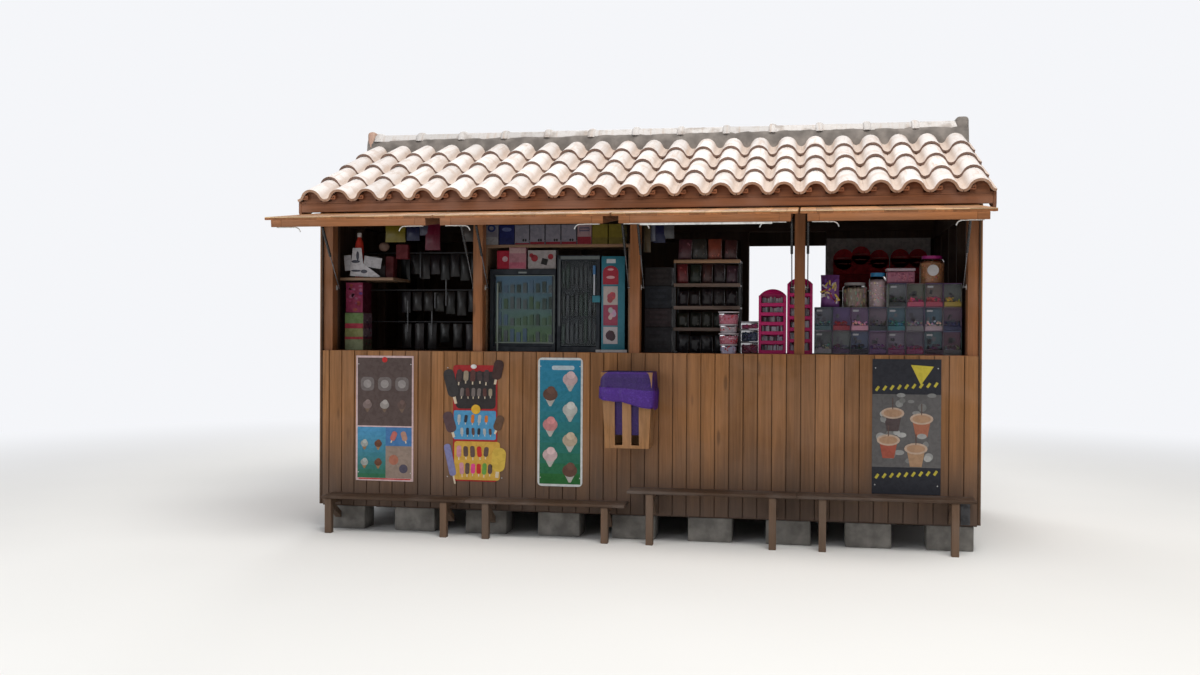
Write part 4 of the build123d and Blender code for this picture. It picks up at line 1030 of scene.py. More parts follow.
class KIOSK_OT_ridge(bpy.types.Operator):
    """Lays the collared ridge tiles on their bed of mortar"""

    bl_idname = "kiosk.ridge"
    bl_label = "Ridge"

    # Ridge tile from its collar on: place along the tile and radius
    profile = (
        (0.0, 0.094),
        (0.004, 0.102),
        (0.013, 0.1075),
        (0.027, 0.109),
        (0.041, 0.1065),
        (0.051, 0.1),
        (0.057, 0.0905),
        (0.12, 0.0895),
        (0.22, 0.089),
    )

    def execute(self, context):
        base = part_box("ridge_tiles")[0].z
        self.ridge_tiles(base)
        self.mortar_bed(base)
        self.end_blocks(base)
        return {"FINISHED"}

    def ridge_tiles(self, base):
        """Half-round tiles, each with a swollen collar at its left end."""
        pitch = (ROOF_LENGTH - 2 * RIDGE_END) / RIDGE_COUNT
        draw = random.Random(41)
        bm = start_mesh()
        squash = Matrix.Diagonal((1, 1, RIDGE_SQUASH, 1))
        for i in range(RIDGE_COUNT):
            middle = -ROOF_LENGTH / 2 + RIDGE_END + (i + 0.5) * pitch
            part = start_mesh()
            profile = (*self.profile, (pitch - 0.001, 0.088))
            verts = [part.verts.new((x - pitch / 2, radius, 0)) for x, radius in profile]
            edges = [part.edges.new(pair) for pair in zip(verts, verts[1:])]
            bmesh.ops.spin(part, geom=verts + edges, cent=(0, 0, 0), axis=(1, 0, 0), angle=pi, steps=14)
            make_shell(part, 0.012)
            tip = Matrix.Rotation(draw.uniform(-0.006, 0.006), 4, "Y")
            roll = Matrix.Rotation(draw.uniform(-0.02, 0.02), 4, "X")
            centre = Matrix.Translation((middle, 0, base + draw.uniform(-0.0015, 0.0015)))
            bmesh.ops.transform(part, matrix=centre @ tip @ roll @ squash, verts=part.verts)
            paint(part, part.faces, draw.random())
            join_part(bm, part)
        finish_piece("ridge_cover_tiles", bm, "ridge_clay", replaced=["ridge_tiles"], sharp=50)

    def mortar_bed(self, base):
        """Trowelled mortar that fills the gap between the ridge tiles and the roof tiles."""
        bm = start_mesh()
        half = ROOF_LENGTH / 2 - 0.004
        section = ((-0.06, 0.03), (-0.09, 0.006), (-0.098, -0.02), (-0.112, -0.12))
        outline = [(-half, y, base + z) for y, z in (*section, *[(-y, z) for y, z in reversed(section)])]
        add_prism(bm, outline, (2 * half, 0, 0))
        long_edges = [e for e in bm.edges if abs(e.verts[0].co.x - e.verts[1].co.x) > 1]
        bmesh.ops.subdivide_edges(bm, edges=long_edges, cuts=190, use_grid_fill=True)
        for vert in bm.verts:
            wave = noise.noise(vert.co * 14.0) * 0.006 + noise.noise(vert.co * 45.0) * 0.002
            vert.co.y += wave if vert.co.y > 0 else -wave
            vert.co.z += 0.4 * wave
        paint(bm, bm.faces, 0.5)
        finish_piece("ridge_mortar_bed", bm, "mortar", replaced=["ridge_mortar"], sharp=60)

    def end_blocks(self, base):
        """Rounded closing blocks at both ends of the ridge."""
        bm = start_mesh()
        for side, tone, slot, width in ((-1, 0.8, 0, 0.064), (1, 0.2, 1, 0.096)):
            outer, inner = side * (ROOF_LENGTH / 2 - 0.001), side * (ROOF_LENGTH / 2 - width)
            low, high = (min(outer, inner), -0.098, base - 0.085), (max(outer, inner), 0.098, base + 0.086)
            verts = add_block(bm, low, high, tone, 0.026, 4, slot=slot)
            for vert in verts:
                vert.co.y *= 1.0 - 0.1 * max(0.0, (vert.co.z - base) / 0.086)
            jitter(verts, 0.004, 3 + side)
        finish_piece("ridge_end_blocks", bm, "end_clay mortar", sharp=45)


# ---------------------------------------------------------------- flaps and struts


class KIOSK_OT_flaps(bpy.types.Operator):
    """Boards and frames the four lifting flaps, and finishes their ironwork and gas struts"""

    bl_idname = "kiosk.flaps"
    bl_label = "Serving flaps"

    def execute(self, context):
        for number, centre in enumerate(BAY_CENTRES, start=1):
            self.boards(number, flap_matrix(centre), context.scene.kiosk_sizes)
            self.rails(number, flap_matrix(centre))
            dress(f"flap_{number}_ironwork", "white_iron")
            dress(f"flap_{number}_strut_cylinders", "black_lacquer")
            dress(f"flap_{number}_strut_rods", "steel_rod")
        self.post_plates()
        return {"FINISHED"}

    def post_plates(self):
        """Ironwork on the posts, with two bolts on the dull plate at the right corner."""
        bm = refined_copy("post_ironwork", 0.0)
        for face in bm.faces:
            face.material_index = int(face.calc_center_median().z < 0.7)
        for z in (0.21, 0.294):
            add_rod(bm, (2.182, -1.1085, z), (2.182, -1.1035, z), 0.009, 0.5, 6, 1)
        finish_piece("post_plates", bm, "white_iron steel_plate", replaced=["post_ironwork"])

    def mark_free_edge(self, bm, matrix, old, new):
        """Gives the faces towards the customer a finish of their own."""
        bm.normal_update()
        front = matrix.to_3x3() @ Vector((0, -1, 0))
        for face in bm.faces:
            if face.normal.dot(front) > 0.9 and face.material_index == old:
                face.material_index = new

    def boards(self, number, matrix, sizes):
        """Boards that run from the hinge side to the free edge, with a pale strip along the top of the free
        edge.
        """
        draw = random.Random(60 + number)
        bm = start_mesh()
        half = FLAP_WIDTH / 2
        for left, right in board_spans(-half, half, -half + 0.055 + 0.01 * number, sizes.board_pitch):
            low = (left, -FLAP_REACH + 0.0008 + draw.uniform(0, 0.0012), BOARD_UNDER)
            chamfer = sizes.board_chamfer * 0.8
            add_block(bm, low, (right, FLAP_TOP, FLAP_TOP), draw.random(), chamfer, matrix=matrix, sides=1)
            low = (left + 0.001, -FLAP_REACH + 0.0002, -0.011)
            high = (right - 0.001, -FLAP_REACH + 0.004, -0.0062)
            add_block(bm, low, high, draw.random(), 0, matrix=matrix, slot=2)
        self.mark_free_edge(bm, matrix, 0, 1)
        self.finish(number, "boarding", bm, "flap_boards board_ends worn_edges", "boards")

    def rails(self, number, matrix):
        """Side rails with three cross rails between them, and a pale strip light under the third flap."""
        draw = random.Random(80 + number)
        bm = start_mesh()
        half, low = RAIL_SPAN / 2, FLAP_TOP - FLAP_DEPTH
        for left in (-half, half - RAIL_WIDTH):
            corners = (left, -FLAP_REACH + 0.0002, low), (left + RAIL_WIDTH, FLAP_TOP, RAIL_TOP)
            add_block(bm, *corners, 0.5, 0.003, 2, matrix, 1)
        # The side rails' sides and undersides keep the darker copy of the rail finish, as painted shade; only
        # their ends towards the customer take the plain finish.
        self.mark_free_edge(bm, matrix, 1, 0)
        middle = (FLAP_TOP - FLAP_REACH) / 2
        inside = half - RAIL_WIDTH
        for near in (-FLAP_REACH, middle - RAIL_WIDTH / 2, FLAP_TOP - RAIL_WIDTH):
            corners = (-inside, near, low + 0.001), (inside, near + RAIL_WIDTH, RAIL_TOP)
            add_block(bm, *corners, draw.random(), 0.003, 2, matrix)
        if number == 3:
            corners = (-0.385, -FLAP_REACH + 0.004, low - 0.0125), (0.405, -FLAP_REACH + 0.02, low + 0.0015)
            add_block(bm, *corners, 0.5, 0.003, 2, matrix, 2)
        self.finish(number, "rails", bm, "flap_rails flap_side_rails white_iron", "frame")

    def finish(self, number, name, bm, materials, node):
        flap = f"flap_{number}"
        finish_piece(f"{flap}_{name}", bm, materials, body=flap, replaced=[f"{flap}_{node}"])


# ---------------------------------------------------------------- benches and litter bin


class KIOSK_OT_benches(bpy.types.Operator):
    """Builds the two low benches along the front"""

    bl_idname = "kiosk.benches"
    bl_label = "Benches"

    def execute(self, context):
        for bench, seed in (("left_bench", 3), ("right_bench", 4)):
            refine(f"{bench}_seat", f"{bench}_top", "bench_boards", 0.005, 3, seed)
            refine(f"{bench}_frame", f"{bench}_trestles", "bench_legs", 0.003, 1, seed + 5)
        return {"FINISHED"}


class KIOSK_OT_litter_bin(bpy.types.Operator):
    """Builds the slatted litter bin and the purple bag folded over its rim"""

    bl_idname = "kiosk.litter_bin"
    bl_label = "Litter bin"

    # Width and depth of the bin at its foot and at its rim, and the bag's width laid flat
    base, rim = (0.296, 0.205), (0.35, 0.24)
    flat_width = 1.12

    # Rings of the bag from the skirt's hem over the rim to the floor: rise from the rim, inset, wobble, tone;
    # the tones paint light and shade on the folds, lit on the rim's top and the skirt's lower band, shaded
    # under the rim and inside the bin
    rows = (
        (-0.208, -0.016, 0.0045, 0.35),
        (-0.2, -0.021, 0.0045, 0.6),
        (-0.15, -0.02, 0.004, 0.72),
        (-0.108, -0.019, 0.004, 0.8),
        (-0.1, -0.013, 0.0035, 0.3),
        (-0.07, -0.011, 0.003, 0.3),
        (-0.035, -0.007, 0.0025, 0.25),
        (-0.012, -0.004, 0.0015, 0.35),
        (0.0015, -0.001, 0.0005, 0.6),
        (0.0025, 0.007, 0.0, 0.6),
        (0.0005, 0.0155, 0.0, 0.4),
        (-0.06, 0.0175, 0.0015, 0.3),
        (-0.2, 0.0185, 0.0015, 0.25),
        (-0.38, 0.0195, 0.0015, 0.2),
        (-0.424, 0.024, 0.0, 0.2),
        (-0.426, 0.05, 0.0, 0.2),
    )
    # How much of the hem's sag each of the first rings takes
    sags = (1.0, 0.95, 0.8, 0.4)

    def execute(self, context):
        refine("litter_bin", "litter_bin_slats", "bin_slats", 0.002)
        self.bag()
        return {"FINISHED"}

    def bag(self):
        """A thin bag: floor, lining, folded rim and a loose creased skirt."""
        low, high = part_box("litter_bin")
        rim, wall_side = high.z, high.y
        bm = start_mesh()
        circle = bmesh.ops.create_circle(bm, cap_ends=False, radius=1.0, segments=72)["verts"]
        edges = list({e for v in circle for e in v.link_edges})
        unit = [v.co.copy() for v in circle]
        ring = circle
        for row, (rise, inset, wobble, tone) in enumerate(self.rows):
            if row:
                ring, edges = self.next_ring(bm, edges, index, tone)
            index = {v: i for i, v in enumerate(ring)}
            height = rim + rise
            share = (height - low.z) / (rim - low.z)
            width, depth = (a + (b - a) * share - 2 * inset for a, b in zip(self.base, self.rim))
            middle = wall_side - depth / 2 - inset
            for i, (vert, (x, y, _)) in enumerate(zip(ring, unit)):
                reach = (abs(x) ** 9 + abs(y) ** 9) ** (-1 / 9)
                crease = noise.noise(Vector((x * 6, y * 6, height * 4))) * wobble * 2
                crease += sin(i * 1.9 + height * 12) * wobble * 0.5
                sag = 0.0
                if row < len(self.sags):
                    ramp = -0.048 * max(0.0, x) + 0.03 * max(0.0, -x)
                    sag = self.sags[row] * (ramp + 0.012 * noise.noise(Vector((x * 3, y * 3, 2))))
                across = (low.x + high.x) / 2 + x * reach * (width / 2 + crease)
                back = min(middle + y * reach * (depth / 2 + crease), wall_side - 0.0012)
                vert.co = (across, back, height + sag)
        # The bag's floor, deep inside the bin, takes a low tone as painted shade.
        paint(bm, bmesh.ops.contextual_create(bm, geom=edges)["faces"], 0.2)
        at_wall = [f for f in bm.faces if all(v.co.y > wall_side - 0.0135 for v in f.verts)]
        hidden = [f for f in at_wall if max(v.co.z for v in f.verts) < rim + 0.002]
        bmesh.ops.delete(bm, geom=hidden, context="FACES")
        area = sum(f.calc_area() for f in bm.faces)
        bag = finish_piece("bin_liner_bag", bm, "bag_film", replaced=["bin_bag"], sharp=70)
        width = self.flat_width

    def next_ring(self, bm, edges, index, tone):
        """Draws a ring on from the last one, with its vertices in the same order."""
        made = bmesh.ops.extrude_edge_only(bm, edges=edges)["geom"]
        verts = set(verts_in(made))
        edges = [e for e in made if isinstance(e, bmesh.types.BMEdge) and verts.issuperset(e.verts)]
        paint(bm, [f for f in made if isinstance(f, bmesh.types.BMFace)], tone)
        below = {v: index[e.other_vert(v)] for v in verts for e in v.link_edges if e.other_vert(v) in index}
        return sorted(verts, key=below.get), edges


# ---------------------------------------------------------------- posters

WHITE = (0.72, 0.7, 0.68)
RED = (0.5, 0.018, 0.016)
YELLOW = (0.72, 0.42, 0.03)
ORANGE = (0.6, 0.17, 0.02)
NAVY = (0.012, 0.02, 0.075)
BROWN = (0.11, 0.04, 0.018)
PINK = (0.72, 0.06, 0.25)
CREAM = (0.66, 0.55, 0.4)


class KIOSK_OT_posters(bpy.types.Operator):
    """Fixes four plain illustrated posters to the front wall"""

    bl_idname = "kiosk.posters"
    bl_label = "Posters"

    edges = (
        (-2.019, -1.587, 0.355, 1.252),
        (-1.353, -0.914, 0.34, 1.232),
        (-0.677, -0.357, 0.353, 1.25),
        (1.602, 2.044, 0.368, 1.263),
    )
    back, face = FRONT_FACE - 0.0004, FRONT_FACE - 0.003

    def execute(self, context):
        self.bm = start_mesh()
        for painter, sheet in zip((self.first, self.second, self.third, self.fourth), self.edges):
            self.sheet = sheet
            painter(*sheet)
        for left, right, bottom, top in self.edges:
            for x in (left + 0.02, right - 0.02):
                for z in (bottom + 0.06, top - 0.06):
                    add_disc(self.bm, (x, self.face - 0.0006, z), 0.004, 0.0012, 3 * [0.55], sides=8)
        finish_piece("wall_posters", self.bm, "poster_print", replaced=["posters"])
        return {"FINISHED"}

    def across(self, share):
        """Place at a share of the poster's width."""
        left, right = self.sheet[:2]
        return left + share * (right - left)

    def up(self, share):
        """Height at a share of the poster's height."""
        bottom, top = self.sheet[2:]
        return bottom + share * (top - bottom)

    def patch(self, left, right, bottom, top, tint, layer=1, round_by=0.0):
        """A flat area of one ink; higher layers lie over lower ones."""
        front = self.face - 0.00022 * layer
        add_block(self.bm, (left, front, bottom), (right, self.back, top), tint, round_by, 4, sides=1)

    def fade(self, left, right, bottom, top, low_tint, high_tint, bands=12):
        """A field that runs from one ink at the bottom to another at the top."""
        step = (top - bottom) / bands
        for i in range(bands):
            tint = [a + (b - a) * i / (bands - 1) for a, b in zip(low_tint, high_tint)]
            self.patch(left, right, bottom + i * step, bottom + (i + 1) * step, tint)

    def spot(self, x, z, radius, tint, stretch=1.0, layer=5):
        """A round patch."""
        add_disc(self.bm, (x, self.face - 0.00018 * layer, z), radius, 0.0012, tint, stretch, 16)

    def bar(self, x, z, width, height, tint, lean=0.0):
        """A round-ended bar of ice on its stick."""
        place = leaning((x, self.face, z), lean)
        stick, half = 0.12 * width, width / 2
        add_block(self.bm, (-stick, -0.0012, -0.75 * height), (stick, 0.001, 0), CREAM, 0, matrix=place)
        low, high = (-half, -0.0018, -height / 2), (half, 0.001, height / 2)
        add_block(self.bm, low, high, tint, 0.44 * width, 4, place, sides=1)

    def cone(self, x, z, size, scoop, wafer=(0.3, 0.16, 0.07)):
        """A wafer cone with a heaped scoop."""
        low, high = (x - 0.4 * size, self.face - 0.0012, z - 0.62 * size), (x + 0.4 * size, self.face, z)
        for vert in add_block(self.bm, low, high, wafer, 0):
            if vert.co.z < z - 0.3 * size:
                vert.co.x = x + 0.15 * (vert.co.x - x)
        self.spot(x, z + 0.1 * size, 0.46 * size, scoop, 0.85, 8)
        self.spot(x + 0.05 * size, z + 0.36 * size, 0.26 * size, [min(1, 1.3 * c) for c in scoop], 0.9, 9)

    def first(self, left, right, bottom, top):
        """Pale border, grey-brown upper field, blue, green and beige lower fields."""
        inner, middle, inner_right = left + 0.012, self.across(0.52), right - 0.012
        self.patch(left, right, bottom, top, (0.62, 0.45, 0.45), 0)
        self.patch(inner, inner_right, self.up(0.44), top - 0.014, (0.08, 0.052, 0.046))
        self.spot(self.across(0.5), top - 0.028, 0.02, RED)
        for share, scoop in ((0.2, (0.18, 0.13, 0.12)), (0.5, (0.3, 0.27, 0.25)), (0.8, (0.1, 0.06, 0.05))):
            x = self.across(share)
            self.patch(x - 0.05, x + 0.05, self.up(0.72), self.up(0.83), (0.15, 0.125, 0.12), 2, 0.03)
            self.spot(x, self.up(0.775), 0.03, (0.3, 0.27, 0.26), 1.0, 6)
            self.cone(x, self.up(0.6), 0.075, scoop, (0.14, 0.09, 0.06))
        self.fade(inner, middle, bottom + 0.02, self.up(0.43), (0.02, 0.13, 0.06), (0.06, 0.26, 0.46))
        for share_z in (0.14, 0.29):
            for share_x, scoop in ((0.15, (0.3, 0.32, 0.3)), (0.39, BROWN)):
                self.cone(self.across(share_x), self.up(share_z), 0.062, scoop)
        self.patch(middle, inner_right, self.up(0.28), self.up(0.43), (0.05, 0.16, 0.36))
        self.patch(middle, inner_right, bottom + 0.02, self.up(0.28), (0.27, 0.2, 0.16))
        self.bar(self.across(0.66), self.up(0.36), 0.04, 0.07, (0.45, 0.12, 0.1), 0.4)
        self.bar(self.across(0.84), self.up(0.36), 0.04, 0.07, (0.4, 0.22, 0.16), -0.3)
        self.spot(self.across(0.66), self.up(0.17), 0.036, (0.36, 0.13, 0.08))
        self.spot(self.across(0.83), self.up(0.1), 0.032, (0.07, 0.06, 0.09))
        self.patch(left + 0.02, right - 0.02, bottom + 0.01, bottom + 0.018, RED, 2)

    def second(self, left, right, bottom, top):
        """Red cut-out board with dark, blue and yellow fields and ices that stick out at its sides."""
        inner, inner_right = left + 0.06, right - 0.055
        self.patch(inner, inner_right, bottom + 0.03, top - 0.04, (0.34, 0.012, 0.014), 0, 0.02)
        for share_x, share_z, wide, tall, tint, lean in (
            (0.1, 0.81, 0.08, 0.2, (0.03, 0.026, 0.026), -0.25),
            (0.88, 0.92, 0.07, 0.14, (0.045, 0.018, 0.015), 0.2),
            (0.08, 0.5, 0.075, 0.15, (0.085, 0.045, 0.05), -0.3),
            (0.9, 0.5, 0.06, 0.11, (0.11, 0.055, 0.03), 0.35),
            (0.09, 0.2, 0.05, 0.23, (0.2, 0.2, 0.38), -0.22),
            (0.9, 0.21, 0.1, 0.17, (0.6, 0.4, 0.06), 0.1),
        ):
            self.bar(self.across(share_x), self.up(share_z), wide, tall, tint, lean)
        for low_x, high_x, low, high, tint, round_by in (
            (0.02, -0.012, self.up(0.61), top - 0.085, (0.02, 0.015, 0.015), 0.03),
            (0.005, -0.01, self.up(0.365), self.up(0.595), (0.07, 0.28, 0.5), 0.012),
            (0.01, 0.02, self.up(0.045), self.up(0.35), (0.58, 0.34, 0.05), 0.02),
        ):
            self.patch(inner + low_x, inner_right + high_x, low, high, tint, 2, round_by)
        self.spot(self.across(0.48), top - 0.05, 0.022, WHITE, 0.7)
        self.spot(self.across(0.52), self.up(0.605), 0.034, YELLOW, 1.0, 22)
        draw = random.Random(6)
        dull = (
            (0.16, 0.13, 0.12), (0.32, 0.26, 0.18), (0.09, 0.03, 0.025), (0.05, 0.03, 0.03), (0.2, 0.07, 0.05)
        )
        cool = ((0.4, 0.42, 0.42), (0.02, 0.02, 0.03), (0.1, 0.05, 0.04), ORANGE)
        warm = (PINK, (0.12, 0.3, 0.05), ORANGE, (0.1, 0.06, 0.05), (0.55, 0.25, 0.3), RED, (0.3, 0.14, 0.5))
        for share, count, start, inks, tall in (
            (0.87, 5, 0.0, dull, 0.085),
            (0.74, 6, 0.5, dull, 0.062),
            (0.53, 5, 0.0, cool, 0.055),
            (0.43, 6, 0.5, cool, 0.05),
            (0.27, 5, 0.0, warm, 0.08),
            (0.135, 6, 0.5, warm, 0.075),
        ):
            pitch = (inner_right - inner - 0.075) / count
            for i in range(count):
                x, lean = inner + 0.045 + (i + start) * pitch, draw.uniform(-0.12, 0.12)
                height = tall * draw.uniform(0.85, 1.1)
                self.bar(x, self.up(share), tall * 0.42, height, draw.choice(inks), lean)

    def third(self, left, right, bottom, top):
        """White rounded border round a blue to green field with seven heaped cones."""
        low, high = (0.012, 0.11, 0.022), (0.015, 0.2, 0.34)
        self.patch(left, right, bottom, top, (0.6, 0.62, 0.62), 0, 0.03)
        self.fade(left + 0.014, right - 0.014, bottom + 0.016, top - 0.016, low, high)
        self.patch(left + 0.1, right - 0.06, top - 0.085, top - 0.055, (0.45, 0.55, 0.6), 2, 0.014)
        scoops = (
            (0.5, 0.36, 0.36), (0.1, 0.045, 0.03), (0.45, 0.45, 0.42), (0.5, 0.2, 0.2), (0.42, 0.33, 0.24)
        )
        for i in range(7):
            x, z = self.across((0.72, 0.28)[i % 2]), self.up(0.82 - 0.118 * i)
            self.cone(x, z, 0.115, scoops[i % 5], (0.42, 0.4, 0.37))

    def fourth(self, left, right, bottom, top):
        """Black field with slanting yellow stripes and a smoky centre with tall glasses."""
        yellow = (0.5, 0.42, 0.05)
        self.patch(left, right, bottom, top, (0.016, 0.017, 0.024), 0)
        for low, high in ((0.2, 0.3), (0.3, 0.74)):
            self.patch(left, right, self.up(low), self.up(high), (0.105, 0.1, 0.1))
        draw = random.Random(9)
        for i in range(26):
            shade = draw.uniform(0.16, 0.4)
            x, z = self.across(draw.uniform(0.09, 0.91)), self.up(draw.uniform(0.24, 0.74))
            smoke = (shade, shade, 0.97 * shade)
            self.spot(x, z, draw.uniform(0.018, 0.036), smoke, draw.uniform(0.5, 1.2), 4 + i % 5)
        for base in (0.115, 0.765):
            for i in range(9):
                x = left + 0.024 + i * (right - left - 0.048) / 8.4
                place = leaning((x, self.face, self.up(base + 0.004 * i)), 0.6)
                add_block(self.bm, (-0.008, -0.0012, 0), (0.008, 0.001, 0.034), yellow, 0, matrix=place)
        verts = add_rod(self.bm, (0, -0.0009, 0), (0, 0.0009, 0), 0.085, (0.56, 0.46, 0.05), 3)
        place = leaning((self.across(0.72), self.face - 0.001, top - 0.085), 1.12)
        bmesh.ops.transform(self.bm, matrix=place, verts=verts)
        for share_x, share_z, body in (
            (0.3, 0.6, (0.07, 0.05, 0.05)),
            (0.72, 0.56, (0.33, 0.12, 0.07)),
            (0.24, 0.4, (0.33, 0.08, 0.05)),
            (0.64, 0.34, (0.36, 0.22, 0.13)),
        ):
            x, z = self.across(share_x), self.up(share_z)
            low, high = (x - 0.06, self.face - 0.002, z - 0.12), (x + 0.06, self.face, z)
            for vert in add_block(self.bm, low, high, body, 0):
                if vert.co.z < z - 0.06:
                    vert.co.x = x + 0.62 * (vert.co.x - x)
            self.spot(x, z, 0.075, (0.46, 0.34, 0.26), 0.5, 12)
            self.spot(x, z, 0.06, (0.38, 0.23, 0.14), 0.44, 14)
            self.patch(x - 0.003, x + 0.003, z, z + 0.1, (0.1, 0.06, 0.05), 14)


# ---------------------------------------------------------------- goods behind the openings
# The goods' tints are kept dark, as painted shade inside the hut.


def varied(draw, tint, low, high, lift=0.0):
    """A colour whose channels are each made darker or brighter at random."""
    return [min(1.0, c * draw.uniform(low, high) + lift) for c in tint]


def add_panel(bm, left, right, bottom, top, y, tint, depth=0.004):
    """Adds a printed area just before a face, or a flat pack."""
    add_block(bm, (left, y - 0.0006, bottom), (right, y + depth, top), tint, 0)


class KIOSK_OT_shelves(bpy.types.Operator):
    """Places shelves, cartons and cabinets behind the first two openings"""

    bl_idname = "kiosk.shelves"
    bl_label = "Shelves and cabinets"

    def execute(self, context):
        refine("inner_shelves", "shelf_boards", "rack_boards", 0.0015, seed=5)
        self.cartons()
        self.cabinets()
        self.left_shelf_goods()
        self.high_shelf_goods()
        self.hanging_packs()
        return {"FINISHED"}

    def cartons(self):
        """Two printed cartons at the left and a dark stack beside the snack rack."""
        bm = start_mesh()
        left, right, front, back, bottom, upper = -2.165, -2.028, CABINET_FRONT, -0.78, 1.2875, 1.5625
        add_block(bm, (left - 0.006, front, bottom), (right, back, upper - 0.0005), (0.13, 0.12, 0.07))
        add_block(bm, (left, front + 0.002, upper), (right - 0.004, back, 1.7845), (0.075, 0.005, 0.02))
        for low, high, tint, side in (
            (0.002, 0.078, (0.19, 0.21, 0.11), (0.12, 0.12, 0.08)),
            (0.08, 0.098, (0.34, 0.03, 0.04), (0.18, 0.04, 0.07)),
            (0.1, 0.158, (0.2, 0.2, 0.07), (0.22, 0.16, 0.19)),
            (0.16, 0.196, (0.32, 0.02, 0.04), (0.19, 0.06, 0.1)),
            (0.198, 0.27, (0.12, 0.19, 0.06), (0.17, 0.1, 0.13)),
        ):
            low, high = bottom + low, bottom + high
            add_panel(bm, left - 0.004, right - 0.002, low, high, front, tint)
            add_block(bm, (right - 0.004, front + 0.002, low), (right + 0.0008, back - 0.002, high), side, 0)
        add_panel(bm, left + 0.002, right - 0.006, upper + 0.004, 1.781, front + 0.002, (0.19, 0.008, 0.045))
        draw = random.Random(3)
        berries = (0.3, 0.02, 0.1), (0.08, 0.015, 0.14), (0.24, 0.06, 0.12), (0.22, 0.03, 0.02)
        spots = (0.36, 0.32, 0.34), NAVY, (0.3, 0.03, 0.09)
        for _ in range(18):
            x, z = draw.uniform(left + 0.02, right - 0.02), upper + draw.uniform(0.02, 0.2)
            tint, size = draw.choice(berries), draw.uniform(0.008, 0.018)
            add_disc(bm, (x, front + 0.0014, z), size, 0.001, tint, draw.uniform(0.4, 1.2), 10)
            y, z = draw.uniform(front + 0.02, back - 0.02), bottom + draw.uniform(0.03, 0.25)
            tint, size = draw.choice(spots), draw.uniform(0.004, 0.009)
            add_rod(bm, (right, y, z), (right + 0.0014, y, z), size, tint, 8)
        left, right, front, back, low, height = 0.045, 0.235, -0.9, -0.65, COUNTER, 0.603
        for tint, share in (
            ((0.01, 0.009, 0.012), 0.3),
            ((0.018, 0.01, 0.012), 0.22),
            ((0.009, 0.011, 0.016), 0.26),
            ((0.014, 0.01, 0.01), 0.22),
        ):
            high = low + share * height
            add_block(bm, (left, front, low + 0.0004), (right, back, high), tint, 0.003)
            for rise in (0.18, 0.45, 0.72):
                z = low + rise * (high - low)
                add_panel(bm, left + 0.035, right - 0.03, z, z + 0.02, front, scaled(tint, 1.6))
            low = high
        finish_piece("printed_cartons", bm, "carton_print", replaced=["cartons"])

    def cabinets(self):
        """Two glazed coolers and a turquoise dispenser."""
        refine("display_cabinets", "cabinet_shells", "cabinet_paint", 0.002)
        goods, glass = start_mesh(), start_mesh()
        draw = random.Random(7)
        self.wide_cooler(goods, glass, draw, CABINET_FRONT)
        self.narrow_cooler(goods, glass, draw, CABINET_FRONT)
        self.dispenser(goods, draw, CABINET_FRONT)
        finish_piece("cabinet_goods", goods, "moulded_plastic")
        finish_piece("cabinet_doors_glass", glass, "cabinet_glass")

    def wide_cooler(self, goods, glass, draw, front):
        """A pale seal round a clear pane, with a painted reflection behind it, blue above and green below."""
        left, right, bottom, top = -1.03, -0.6, 1.352, 1.828
        add_block(glass, (left, front + 0.001, bottom), (right, front + 0.004, top), 0.5, 0)
        add_block(goods, (left, front + 0.02, bottom), (right, front + 0.024, top), 0.5, 0)
        # The backing panel's front is coloured blue above and green below: a painted reflection on the glass.
        layer = goods.loops.layers.float_color["tint"]
        for face in goods.faces:
            if face.calc_center_median().y < front + 0.021:
                for loop in face.loops:
                    reflection_tint = (0.055, 0.125, 0.21) if loop.vert.co.z > 1.6 else (0.07, 0.13, 0.022)
                    loop[layer] = (*reflection_tint, 1)
        cans = (0.05, 0.09, 0.14), (0.04, 0.08, 0.03), (0.015, 0.03, 0.02), (0.06, 0.07, 0.07)
        for row in range(4):
            shelf = bottom + 0.006 + row * 0.117
            add_panel(
                goods, left + 0.002, right - 0.002, shelf - 0.003, shelf, front + 0.014, (0.1, 0.11, 0.12)
            )
            for i in range(9):
                x, tint = left + 0.028 + i * 0.047, draw.choice(cans)
                high = shelf + draw.uniform(0.05, 0.1)
                add_panel(goods, x - 0.015, x + 0.015, shelf, high, front + 0.0135, tint)
        for edges in (
            (left + 0.012, left + 0.022, 1.292, top - 0.05),
            (left, right, top, top + 0.003),
            (right, right + 0.003, bottom, top),
            (left, right, bottom - 0.004, bottom),
        ):
            add_panel(goods, *edges, front - 0.0008, (0.26, 0.31, 0.27), 0.003)
        add_panel(goods, -0.86, -0.8, 1.846, 1.858, front, (0.16, 0.18, 0.18))

    def narrow_cooler(self, goods, glass, draw, front):
        """Dark, with hanging bottles behind the glass."""
        left, right, bottom, top = -0.552, -0.29, 1.33, 1.945
        add_block(glass, (left, front + 0.001, bottom), (right, front + 0.004, top), 0.5, 0)
        add_panel(goods, left, right, bottom, top, front + 0.022, (0.006, 0.007, 0.008))
        tints = (0.012, 0.016, 0.012), (0.02, 0.022, 0.024), (0.01, 0.022, 0.012), (0.03, 0.03, 0.032)
        for i in range(8):
            for row in range(3):
                x, low = left + 0.02 + i * 0.032, bottom + 0.02 + row * 0.195
                high = low + draw.uniform(0.13, 0.18)
                add_panel(goods, x - 0.012, x + 0.012, low, high, front + 0.014, draw.choice(tints))
